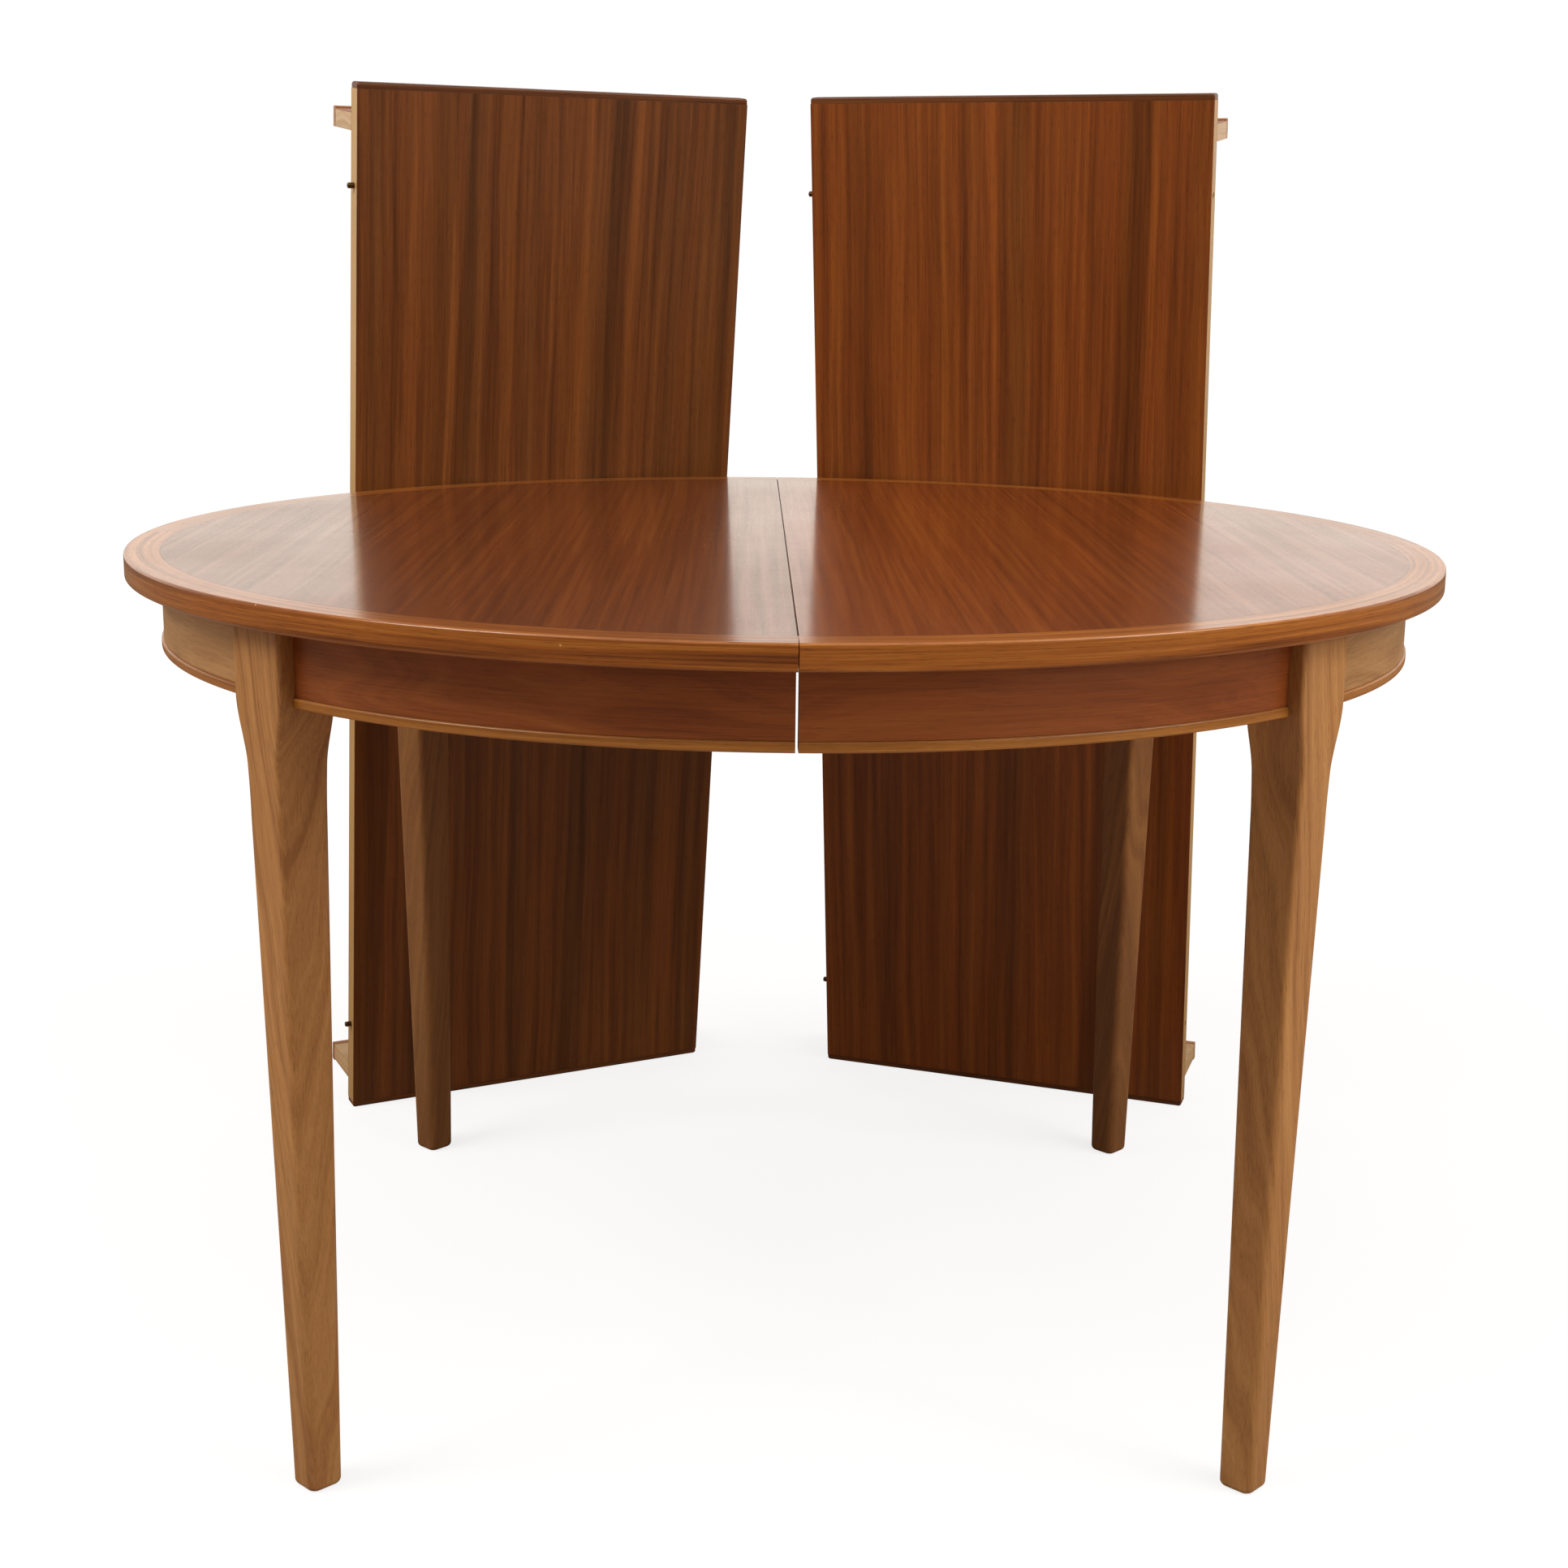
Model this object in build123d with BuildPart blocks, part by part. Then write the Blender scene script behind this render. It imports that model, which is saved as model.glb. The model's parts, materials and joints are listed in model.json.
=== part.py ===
"""Round extending dining table on four legs, with its two loose leaves leaning on the rim.

The top is two half discs that meet on a seam along Y. Each half carries two legs, three
curved apron pieces and its own runners. The right half pulls away along +X, the middle
runners follow at half the distance, and the two leaves would then fill the opening.
At rest the leaves stand on the floor behind the table and lean on the top's back rim.

The origin is on the floor, under the middle of table and leaves together.
"""
from build123d import *
import os
from math import cos, sin, tan, radians

os.makedirs("parts", exist_ok=True)

# ------------------------------------------------------------------ driving sizes, mm
top_diameter = 1150.0
table_height = 730.0
top_thickness = 20.0
seam_gap = 0.8  # between the two half tops
rim_width = 30.0  # solid lipping round the veneered field
arris = 2.0  # rounding along the top's edges

apron_setback = 30.0  # rim to apron face
apron_thickness = 19.0
apron_height = 61.0  # with its bead
apron_gap = 2.0  # between the two halves' aprons
bead_height = 8.0
bead_proud = 2.0
bead_round = 1.8

leg_azimuth = 44.3  # degrees from the X axis
leg_front = 557.5  # radius of the outer face at the head
head_depth = 50.0
head_width = 61.0
head_corner = 3.5
waist_z = 560.0
waist_depth = 44.0
waist_width = 42.5
waist_corner = 4.5
foot_depth = 31.0
foot_width = 30.5
foot_corner = 8.0
foot_inset = 4.0  # the foot's centre stands this far inside the head's centre
foot_round = 5.0
shoulder_top = 55.0  # under the top's underside, where the leg has its full section
shoulder_steps = 8

leaf_width = 443.0
veneer = 1.0
edge_strip = 10.0  # pale strip along each long edge
end_lipping = 6.5  # walnut strip across each short end
leaf_corner = 3.0
# bearing of each leaf from the table's axis, its lean, and its shift along the floor
leaf_leans = {"left": (116.69, 6.22, 4.2), "right": (68.67, 5.63, 46.7)}
rim_clearance = 0.4  # leaf face to rim

pin_radius = 3.0
pin_reach = 7.0  # how far a pin stands out of its edge
pin_depth = 9.0
pin_from_end = 103.0
socket_radius = 3.4
snug = 0.05  # air round a pin or screw that is fixed in its hole

runner_length = 880.0
runner_end = 15.0  # solid end that stops the tongue
runner_width = 30.0
runner_height = 46.0
runner_relief = 2.0  # air under the opposite half top
runner_air = 1.0  # side air between neighbours
middle_width = 28.0
middle_height = 42.0
runner_outer_y = 190.0  # outermost face of each stack, from the centre line
tongue_reach = 8.5
tongue_height = 12.0
groove_depth = 9.0
groove_height = 13.0
pad_play = 0.4  # a runner's pad stops this far short of its half top's seam edge
tongue_stop = 3.0  # a tongue ends this far short of the runner's middle

screw_radius = 2.1
screw_head_radius = 4.2
screw_head_height = 3.5
screw_aside = 5.85  # from a runner's centre line, away from its groove
screw_bite = 12.0
screw_sink = 28.0
screw_slot = 1.0
screw_slot_cut = 12.6  # longer than the head is wide
screw_play = 0.3  # round a screw in its runner
screw_head_play = 0.8
screw_stations = (60.0, 230.0, 400.0)

block_height = 48.0
block_width = 180.0
block_inner = 465.0
bolt_radius = 4.0
bolt_drop = 26.0  # under the top
bolt_in_leg = 36.0
bolt_tail = 18.0
bolt_play = 0.5  # round a bolt in its corner block
washer_radius = 11.0
washer_thickness = 2.0
nut_across_flats = 13.0
nut_thickness = 6.5

glue_block_size = (24.0, 50.0, 20.0)  # radial, along the apron, high
glue_block_angles = (-80.0, -62.0, -28.0, 0.0, 28.0, 62.0, 80.0)  # on the right half

# ------------------------------------------------------------------ worked-out sizes
top_radius = top_diameter / 2
top_underside = table_height - top_thickness
apron_face = top_radius - apron_setback
apron_inner = apron_face - apron_thickness
apron_foot = top_underside - apron_height
bead_top = apron_foot + bead_height
head_centre = leg_front - head_depth / 2
head_inner = leg_front - head_depth
leaf_length = top_diameter
contact_z = table_height - arris
bolt_z = top_underside - bolt_drop


def outwards(bearing):
    """Unit vector away from the table's axis, at a bearing in degrees from +X."""
    return Vector(cos(radians(bearing)), sin(radians(bearing)), 0)


def leaf_corner_point(bearing, lean, shift):
    """Lower left corner of a leaf's show face, from the table's axis, when it leans on the rim."""
    slope = radians(lean)
    reach = top_radius + rim_clearance + contact_z * tan(slope)
    drop = arris * (cos(slope) + sin(slope) - 1)
    across = outwards(bearing - 90)
    return outwards(bearing) * reach + across * (shift - leaf_width / 2) - Vector(0, 0, drop)


def leaf_back_reach(bearing, lean, shift):
    """How far behind the table's axis a leaf's lower bead reaches."""
    slope = radians(lean)
    corner = leaf_corner_point(bearing, lean, shift)
    across = leaf_width * sin(radians(bearing - 90))
    depth = (top_thickness + apron_height) * cos(slope) * sin(radians(bearing))
    rise = (apron_setback - bead_proud) * sin(slope) * sin(radians(bearing))
    return corner.Y + across + depth - rise


back_reach = max(leaf_back_reach(*lean) for lean in leaf_leans.values())
table_y = (top_radius - back_reach) / 2
floor = Plane(origin=(0, table_y, 0))
half_x = {"left": -1, "right": 1}
row_y = {"front": -1, "rear": 1}
corner_bearings = {
    "front_left": 180 + leg_azimuth,
    "rear_left": 180 - leg_azimuth,
    "front_right": -leg_azimuth,
    "rear_right": leg_azimuth,
}


def radial_plane(bearing):
    """Floor plane at the table's axis with X pointing outwards at a bearing."""
    return Plane(origin=floor.origin, x_dir=outwards(bearing), z_dir=(0, 0, 1))


def save(part, name):
    """Label a finished piece and write it under its node's name."""
    part.label = name
    export_step(part, f"parts/{name}.step")


def seam_half(side, gap):
    """Keep what the sketch has on one half of the table, up to half a gap from the seam."""
    middle = half_x[side] * (top_diameter + gap) / 2
    with Locations((middle, 0)):
        Rectangle(top_diameter, 2 * top_diameter, mode=Mode.INTERSECT)


def runner_middle_y(role, row):
    """Centre line of a runner, from the table's centre line. The left one is outermost."""
    outer = runner_outer_y - runner_width / 2
    centre = outer - (runner_width + middle_width) / 2 - runner_air
    inner = centre - (runner_width + middle_width) / 2 - runner_air
    return row_y[row] * {"left": outer, "middle": centre, "right": inner}[role]


def screw_spots(side):
    """Screw places of one half's two runners, on the side of each that has no groove."""
    spots = []
    away = {"left": 1, "right": -1}[side]
    for row in row_y:
        y = runner_middle_y(side, row) + row_y[row] * away * screw_aside
        spots += [(half_x[side] * x, y) for x in screw_stations]
    return spots


# ------------------------------------------------------------------ top panels
pin_y = top_radius - pin_from_end
pin_z = table_height - top_thickness / 2

for side in half_x:
    with BuildPart() as top_panel:
        with BuildSketch(floor.offset(top_underside)):
            Circle(top_radius - rim_width)
            seam_half(side, seam_gap)
        extrude(amount=top_thickness)
        with BuildSketch(floor.offset(top_underside)):
            with Locations(screw_spots(side)):
                Circle(screw_radius + snug)
        extrude(amount=screw_bite + snug, mode=Mode.SUBTRACT)
        hole_radius = {"left": pin_radius + snug, "right": socket_radius}[side]
        seam_face = Plane(origin=(0, table_y, pin_z), x_dir=(0, 1, 0), z_dir=(half_x[side], 0, 0))
        with BuildSketch(seam_face):
            with Locations((-pin_y, 0), (pin_y, 0)):
                Circle(hole_radius)
        extrude(amount=pin_depth + seam_gap, mode=Mode.SUBTRACT)
    save(top_panel.part, f"top_panel_{side}")

# ------------------------------------------------------------------ rim lippings, one per quarter
for side in half_x:
    for row in row_y:
        with BuildPart() as rim:
            with BuildSketch(floor.offset(top_underside)):
                Circle(top_radius)
                seam_half(side, seam_gap)
                with Locations((0, row_y[row] * top_radius)):
                    Rectangle(2 * top_diameter, top_diameter, mode=Mode.INTERSECT)
                Circle(top_radius - rim_width, mode=Mode.SUBTRACT)
            extrude(amount=top_thickness)
            outer_arcs = rim.edges().filter_by(GeomType.CIRCLE).sort_by(SortBy.RADIUS)[-2:]
            fillet(outer_arcs, radius=arris)
        save(rim.part, f"rim_{row}_{side}")

# ------------------------------------------------------------------ curved aprons and their beads
apron_spans = {
    "front_left": (180 + leg_azimuth, 270),
    "side_left": (180 - leg_azimuth, 180 + leg_azimuth),
    "rear_left": (90, 180 - leg_azimuth),
    "front_right": (-90, -leg_azimuth),
    "side_right": (-leg_azimuth, leg_azimuth),
    "rear_right": (leg_azimuth, 90),
}


def apron_outline(name, outer):
    """Add one apron piece's plan: a ring cut at the seam, by two bearings and by the legs."""
    start, end = apron_spans[name]
    far = 2 * top_radius
    Circle(outer)
    seam_half(name.split("_")[1], apron_gap)
    bearings = (start, (start + end) / 2, end)
    corners = [Vector(0, 0, 0)] + [outwards(bearing) * far for bearing in bearings]
    with BuildSketch(Plane.XY, mode=Mode.PRIVATE) as wedge:
        with BuildLine():
            Polyline(*corners, close=True)
        make_face()
    add(wedge.sketch, mode=Mode.INTERSECT)
    Circle(apron_inner, mode=Mode.SUBTRACT)
    for bearing in corner_bearings.values():
        with Locations(Location(outwards(bearing) * head_centre, (0, 0, bearing))):
            Rectangle(head_depth, head_width, mode=Mode.SUBTRACT)


for name in apron_spans:
    with BuildPart() as apron:
        with BuildSketch(floor.offset(bead_top)):
            apron_outline(name, apron_face)
        extrude(amount=top_underside - bead_top)
    save(apron.part, f"apron_{name}")

    with BuildPart() as bead:
        with BuildSketch(floor.offset(apron_foot)):
            apron_outline(name, apron_face + bead_proud)
        extrude(amount=bead_height)
        bead_arcs = bead.edges().filter_by(GeomType.CIRCLE).sort_by(SortBy.RADIUS)[-2:]
        fillet(bead_arcs, radius=bead_round)
    save(bead.part, f"bead_{name}")

# ------------------------------------------------------------------ legs
head_z = top_underside - shoulder_top


def leg_section(z):
    """Radial depth, width, centre radius and corner radius of a leg at a height."""
    foot = (foot_depth, foot_width, head_centre - foot_inset, foot_corner)
    waist = (waist_depth, waist_width, head_centre, waist_corner)
    head = (head_depth, head_width, head_centre, head_corner)
    if z <= waist_z:
        low, high, part_way = foot, waist, z / waist_z
    else:
        rise = min((z - waist_z) / (head_z - waist_z), 1)
        low, high, part_way = waist, head, rise * rise * (3 - 2 * rise)
    return [a + (b - a) * part_way for a, b in zip(low, high)]


def leg_outline(z):
    """Add a leg's rounded section at a height."""
    depth, width, centre, corner = leg_section(z)
    with Locations((centre, 0)):
        RectangleRounded(depth, width, corner)


for corner, bearing in corner_bearings.items():
    axis_plane = radial_plane(bearing)
    bolt_plane = Plane(
        origin=axis_plane.from_local_coords(Vector(head_inner, 0, bolt_z)),
        x_dir=(0, 0, 1),
        z_dir=outwards(bearing),
    )
    with BuildPart() as leg:
        for z in (0, waist_z):
            with BuildSketch(axis_plane.offset(z)):
                leg_outline(z)
        loft()
        fillet(leg.faces().sort_by(Axis.Z)[0].edges(), radius=foot_round)
        for step in range(shoulder_steps + 1):
            z = waist_z + (head_z - waist_z) * step / shoulder_steps
            with BuildSketch(axis_plane.offset(z)):
                leg_outline(z)
        loft()
        with BuildSketch(axis_plane.offset(head_z)):
            leg_outline(head_z)
        extrude(amount=top_underside - head_z)
        with BuildSketch(bolt_plane):
            Circle(bolt_radius + snug)
        extrude(amount=bolt_in_leg + snug, mode=Mode.SUBTRACT)
    save(leg.part, f"leg_{corner}")

    with BuildPart() as block:
        with BuildSketch(axis_plane.offset(top_underside - block_height)):
            with Locations(((block_inner + top_radius) / 2, 0)):
                Rectangle(top_radius - block_inner, block_width)
            Circle(apron_inner, mode=Mode.INTERSECT)
            with Locations((head_centre, 0)):
                Rectangle(head_depth, head_width, mode=Mode.SUBTRACT)
        extrude(amount=block_height)
        with BuildSketch(bolt_plane):
            Circle(bolt_radius + bolt_play)
        extrude(amount=block_inner - head_inner, mode=Mode.SUBTRACT)
    save(block.part, f"leg_block_{corner}")

# ------------------------------------------------------------------ leg bolts, washers and nuts
for side in half_x:
    with BuildPart() as bolts:
        for row in row_y:
            bearing = corner_bearings[f"{row}_{side}"]
            axis_plane = radial_plane(bearing)
            leg_end = axis_plane.from_local_coords(Vector(head_inner + bolt_in_leg, 0, bolt_z))
            block_face = axis_plane.from_local_coords(Vector(block_inner, 0, bolt_z))
            inwards = outwards(bearing) * -1
            with BuildSketch(Plane(origin=leg_end, x_dir=(0, 0, 1), z_dir=inwards)):
                Circle(bolt_radius)
            extrude(amount=bolt_in_leg + head_inner - block_inner + bolt_tail)
            with BuildSketch(Plane(origin=block_face, x_dir=(0, 0, 1), z_dir=inwards)) as washer:
                Circle(washer_radius)
                Circle(bolt_radius + snug, mode=Mode.SUBTRACT)
            extrude(amount=washer_thickness)
            nut_face = block_face + inwards * washer_thickness
            with BuildSketch(Plane(origin=nut_face, x_dir=(0, 0, 1), z_dir=inwards)) as nut:
                RegularPolygon(nut_across_flats / 2, 6, major_radius=False)
                Circle(bolt_radius + snug, mode=Mode.SUBTRACT)
            extrude(amount=nut_thickness)
    save(bolts.part, f"leg_bolts_{side}")

# ------------------------------------------------------------------ glue blocks behind the aprons
for side in half_x:
    radial, along, high = glue_block_size
    with BuildPart() as glue_blocks:
        for angle in glue_block_angles:
            bearing = angle if side == "right" else 180 - angle
            with BuildSketch(radial_plane(bearing).offset(top_underside - high)):
                with Locations((apron_inner - radial / 2, 0)):
                    Rectangle(radial + apron_thickness, along)
                Circle(apron_inner, mode=Mode.INTERSECT)
            extrude(amount=high)
    save(glue_blocks.part, f"glue_blocks_{side}")

# ------------------------------------------------------------------ runners: fixed, middle, fixed
runner_top = top_underside - runner_relief
runner_foot = top_underside - runner_height
tongue_z = (runner_top + runner_foot) / 2
free_end = runner_length / 2 + runner_end

for row in row_y:
    toward_outside = row_y[row]
    for side in half_x:
        y = runner_middle_y(side, row)
        own = half_x[side]
        # the left runner is outermost, so its groove faces the centre line
        groove_way = -toward_outside if side == "left" else toward_outside
        with BuildPart() as runner:
            with BuildSketch(floor.offset(runner_foot)):
                with Locations((-own * runner_end / 2, y)):
                    Rectangle(runner_length + runner_end, runner_width)
            extrude(amount=runner_top - runner_foot)
            pad_length = runner_length / 2 - seam_gap / 2 - pad_play
            with BuildSketch(floor.offset(runner_top)):
                with Locations((own * (runner_length - pad_length) / 2, y)):
                    Rectangle(pad_length, runner_width)
            extrude(amount=runner_relief)
            with BuildSketch(floor.offset(tongue_z - groove_height / 2)):
                with Locations((0, y + groove_way * (runner_width - groove_depth) / 2)):
                    Rectangle(runner_length + 2 * runner_air, groove_depth)
            extrude(amount=groove_height, mode=Mode.SUBTRACT)
            own_screws = [spot for spot in screw_spots(side) if spot[1] * row_y[row] > 0]
            with BuildSketch(floor.offset(runner_foot)):
                with Locations(own_screws):
                    Circle(screw_head_radius + screw_head_play)
            extrude(amount=screw_sink, mode=Mode.SUBTRACT)
            with BuildSketch(floor.offset(runner_foot)):
                with Locations(own_screws):
                    Circle(screw_radius + screw_play)
            extrude(amount=runner_height, mode=Mode.SUBTRACT)
        save(runner.part, f"runner_{row}_{side}")

    y = runner_middle_y("middle", row)
    with BuildPart() as runner:
        with BuildSketch(floor.offset(tongue_z - middle_height / 2)):
            with Locations((0, y)):
                Rectangle(runner_length, middle_width)
        extrude(amount=middle_height)
        # each tongue fills half the length, so that it meets the groove's closed end when pulled out
        tongue_length = runner_length / 2 - tongue_stop
        for side in half_x:
            way = toward_outside if side == "left" else -toward_outside
            with BuildSketch(floor.offset(tongue_z - tongue_height / 2)):
                tongue_x = half_x[side] * (runner_length - tongue_length) / 2
                with Locations((tongue_x, y + way * (middle_width + tongue_reach) / 2)):
                    Rectangle(tongue_length, tongue_reach)
            extrude(amount=tongue_height)
    save(runner.part, f"runner_{row}_middle")

# ------------------------------------------------------------------ runner screws
for side in half_x:
    with BuildPart() as screws:
        for spot in screw_spots(side):
            head_seat = runner_foot + screw_sink
            with BuildSketch(floor.offset(head_seat - screw_head_height)):
                with Locations(spot):
                    Circle(screw_head_radius)
            extrude(amount=screw_head_height)
            with BuildSketch(floor.offset(head_seat)):
                with Locations(spot):
                    Circle(screw_radius)
            extrude(amount=top_underside - head_seat + screw_bite)
            with BuildSketch(floor.offset(head_seat - screw_head_height)):
                with Locations(spot):
                    Rectangle(screw_slot_cut, screw_slot)
            extrude(amount=screw_slot, mode=Mode.SUBTRACT)
    save(screws.part, f"runner_screws_{side}")

# ------------------------------------------------------------------ seam pins
with BuildPart() as seam_pins:
    for y in (-pin_y, pin_y):
        with BuildSketch(Plane(origin=(-pin_depth, table_y + y, pin_z), z_dir=(1, 0, 0))):
            Circle(pin_radius)
        extrude(amount=pin_depth + pin_reach)
    fillet(seam_pins.faces().group_by(Axis.X)[-1].edges(), radius=pin_radius / 2)
save(seam_pins.part, "seam_pins")


# ------------------------------------------------------------------ loose leaves
def outermost(part, axis):
    """The two faces square to an axis that lie farthest apart along it."""
    faces = part.faces().filter_by(axis).sort_by(axis)
    return ShapeList([faces[0], faces[-1]])


def leaf_face_plane(side):
    """Plane of a leaf's show face: origin at the lower left corner, X across, Y up the leaf."""
    bearing, lean, shift = leaf_leans[side]
    slope = radians(lean)
    face_normal = outwards(bearing) * -cos(slope) - Vector(0, 0, sin(slope))
    corner = leaf_corner_point(bearing, lean, shift) + Vector(0, table_y, 0)
    return Plane(origin=corner, x_dir=outwards(bearing - 90), z_dir=face_normal)


for side in leaf_leans:
    face = leaf_face_plane(side)
    back = face.offset(-top_thickness)
    middle = (leaf_width / 2, leaf_length / 2)
    across_leaf = Axis(face.origin, face.x_dir)
    along_leaf = Axis(face.origin, face.y_dir)
    through_leaf = Axis(face.origin, face.z_dir)
    inner_length = leaf_length - 2 * end_lipping
    core_thickness = top_thickness - 2 * veneer

    with BuildPart() as core:
        with BuildSketch(back.offset(veneer)):
            with Locations(middle):
                Rectangle(leaf_width - 2 * edge_strip, inner_length)
        extrude(amount=core_thickness)
    save(core.part, f"leaf_{side}_core")

    with BuildPart() as strips:
        with BuildSketch(back.offset(veneer)):
            with Locations((edge_strip / 2, middle[1]), (leaf_width - edge_strip / 2, middle[1])):
                Rectangle(edge_strip, inner_length)
        extrude(amount=core_thickness)
        pin_heights = (pin_from_end, leaf_length - pin_from_end)
        for edge_x, hole_radius, way in ((0, pin_radius + snug, 1), (leaf_width, socket_radius, -1)):
            edge_middle = face.from_local_coords(Vector(edge_x, 0, -top_thickness / 2))
            with BuildSketch(Plane(origin=edge_middle, x_dir=face.y_dir, z_dir=face.x_dir * way)):
                with Locations([(height, 0) for height in pin_heights]):
                    Circle(hole_radius)
            extrude(amount=pin_depth, mode=Mode.SUBTRACT)
    save(strips.part, f"leaf_{side}_edge_strips")

    for layer, plane in (("face", face.offset(-veneer)), ("back", back)):
        with BuildPart() as sheet:
            with BuildSketch(plane):
                with Locations(middle):
                    Rectangle(leaf_width, inner_length)
            extrude(amount=veneer)
        save(sheet.part, f"leaf_{side}_{layer}_veneer")

    with BuildPart() as lippings:
        for low_end, way in ((0, 1), (leaf_length, -1)):
            with BuildSketch(back):
                with Locations((leaf_width / 2, low_end + way * end_lipping / 2)):
                    Rectangle(leaf_width, end_lipping)
            extrude(amount=top_thickness)
        end_edges = outermost(lippings, along_leaf).edges()
        fillet(end_edges.filter_by(through_leaf), radius=leaf_corner)
        end_edges = outermost(lippings, along_leaf).edges()
        fillet(end_edges.filter_by(across_leaf), radius=arris)
    save(lippings.part, f"leaf_{side}_end_lippings")

    board_middle = apron_setback + apron_thickness / 2
    bead_middle = board_middle - bead_proud / 2
    board_height = apron_height - bead_height
    ends = {"lower": (0, 1), "upper": (leaf_length, -1)}
    for end, (start, way) in ends.items():
        with BuildPart() as board:
            with BuildSketch(back):
                with Locations((leaf_width / 2, start + way * board_middle)):
                    Rectangle(leaf_width, apron_thickness)
            extrude(amount=-board_height)
        save(board.part, f"leaf_{side}_apron_{end}")

    with BuildPart() as beads:
        for start, way in ends.values():
            with BuildSketch(back.offset(-board_height)):
                with Locations((leaf_width / 2, start + way * bead_middle)):
                    Rectangle(leaf_width, apron_thickness + bead_proud)
            extrude(amount=-bead_height)
        bead_edges = outermost(beads, along_leaf).edges()
        fillet(bead_edges.filter_by(across_leaf), radius=bead_round)
    save(beads.part, f"leaf_{side}_beads")

    with BuildPart() as pins:
        for height in pin_heights:
            pin_end = face.from_local_coords(Vector(pin_depth, height, -top_thickness / 2))
            with BuildSketch(Plane(origin=pin_end, x_dir=face.y_dir, z_dir=face.x_dir * -1)):
                Circle(pin_radius)
            extrude(amount=pin_depth + pin_reach)
        tips = pins.faces().filter_by(across_leaf).group_by(across_leaf)[0]
        fillet(tips.edges(), radius=pin_radius / 2)
    save(pins.part, f"leaf_{side}_pins")

    print(side, "leaf: corner", face.origin, "up the leaf", face.y_dir)

print("table centre y", round(table_y, 3), "feet at radius", round(head_centre - foot_inset, 2))
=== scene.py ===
# %% [markdown]
# # A round extending table with its two loose leaves
#
# The table is a round top in two halves on four tapered legs. Two extension leaves stand behind
# it and lean on its back rim. Everything is wood with a satin varnish, so most of this lesson is
# about one question: how to make curved, tapered and flat wooden pieces that all show the grain
# the way a saw would have left it.
#
# The measured model is loaded first. It fixes every place and every size, and each piece below
# rides on one of its bodies, so that the table can open and the leaves can be lifted away.

import json
from functools import partial
from math import atan2, cos, degrees, pi, radians, sin

import bmesh
import bpy
import numpy as np
from mathutils import Matrix, Vector


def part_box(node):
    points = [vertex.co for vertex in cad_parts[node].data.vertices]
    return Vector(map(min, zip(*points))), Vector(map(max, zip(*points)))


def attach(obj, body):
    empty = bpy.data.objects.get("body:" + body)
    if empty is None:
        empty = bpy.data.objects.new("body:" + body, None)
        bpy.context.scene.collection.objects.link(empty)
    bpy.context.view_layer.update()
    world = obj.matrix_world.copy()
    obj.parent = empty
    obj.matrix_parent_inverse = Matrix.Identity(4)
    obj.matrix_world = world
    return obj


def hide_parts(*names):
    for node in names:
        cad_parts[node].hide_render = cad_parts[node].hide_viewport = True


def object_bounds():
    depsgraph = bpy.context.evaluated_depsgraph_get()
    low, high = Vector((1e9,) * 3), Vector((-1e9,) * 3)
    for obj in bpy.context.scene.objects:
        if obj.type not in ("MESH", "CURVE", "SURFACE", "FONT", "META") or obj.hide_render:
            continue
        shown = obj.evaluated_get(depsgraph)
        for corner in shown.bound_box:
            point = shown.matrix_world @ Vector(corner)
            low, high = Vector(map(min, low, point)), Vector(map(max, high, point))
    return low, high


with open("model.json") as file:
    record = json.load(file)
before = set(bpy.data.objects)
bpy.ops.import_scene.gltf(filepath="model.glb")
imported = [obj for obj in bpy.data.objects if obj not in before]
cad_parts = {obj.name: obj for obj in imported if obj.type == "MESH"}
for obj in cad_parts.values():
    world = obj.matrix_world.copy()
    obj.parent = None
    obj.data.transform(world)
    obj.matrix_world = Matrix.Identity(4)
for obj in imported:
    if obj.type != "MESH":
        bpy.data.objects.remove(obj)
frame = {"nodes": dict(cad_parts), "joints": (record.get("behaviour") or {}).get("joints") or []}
CAD_BOX = [list(corner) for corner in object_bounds()]
SCENE = bpy.context.scene
MM = 0.001
print("box of the measured model:", CAD_BOX)

# %% [markdown]
# The sizes that every piece shares are read off the measured model: the radius of the top, where
# its axis stands, how high its faces are and at what angle the legs are set.

# %% Read the main places
rim_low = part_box("rim_front_left")[0]
rim_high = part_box("rim_rear_left")[1]
TOP_RADIUS = -rim_low.x
AXIS = Vector((0, (rim_low.y + rim_high.y) / 2, 0))
TOP_Z = rim_high.z
UNDER_Z = rim_low.z
RIM_WIDTH = 30 * MM
ARRIS = 2 * MM
FIELD_RADIUS = TOP_RADIUS - RIM_WIDTH
SEAM_HALF = -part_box("top_panel_left")[1].x

leg_low, leg_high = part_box("leg_front_right")
leg_middle = (leg_low + leg_high) / 2 - AXIS
LEG_ANGLE = -degrees(atan2(leg_middle.y, leg_middle.x))
print(f"top radius {TOP_RADIUS:.4f}, axis at y {AXIS.y:.4f}, legs at {LEG_ANGLE:.2f} degrees")

# %% [markdown]
# ## Camera
#
# The camera stands a little above the top, straight in front, and looks slightly down. It is made
# early, because it decides how fine the grain has to be.

# %% Camera
CAMERA_PLACE = Vector((-0.0375, -2.2102, 0.9869))
CAMERA_YAW = 0.018523
CAMERA_PITCH = -0.229528
CAMERA_ROLL = 0.01211
CAMERA_LENS = 54.118
CAMERA_SHIFT_UP = 0.0077

forward = Vector((
    sin(CAMERA_YAW) * cos(CAMERA_PITCH),
    cos(CAMERA_YAW) * cos(CAMERA_PITCH),
    sin(CAMERA_PITCH),
))
level_right = Vector((cos(CAMERA_YAW), -sin(CAMERA_YAW), 0))
level_up = level_right.cross(forward)
right = cos(CAMERA_ROLL) * level_right + sin(CAMERA_ROLL) * level_up
upward = cos(CAMERA_ROLL) * level_up - sin(CAMERA_ROLL) * level_right

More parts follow.
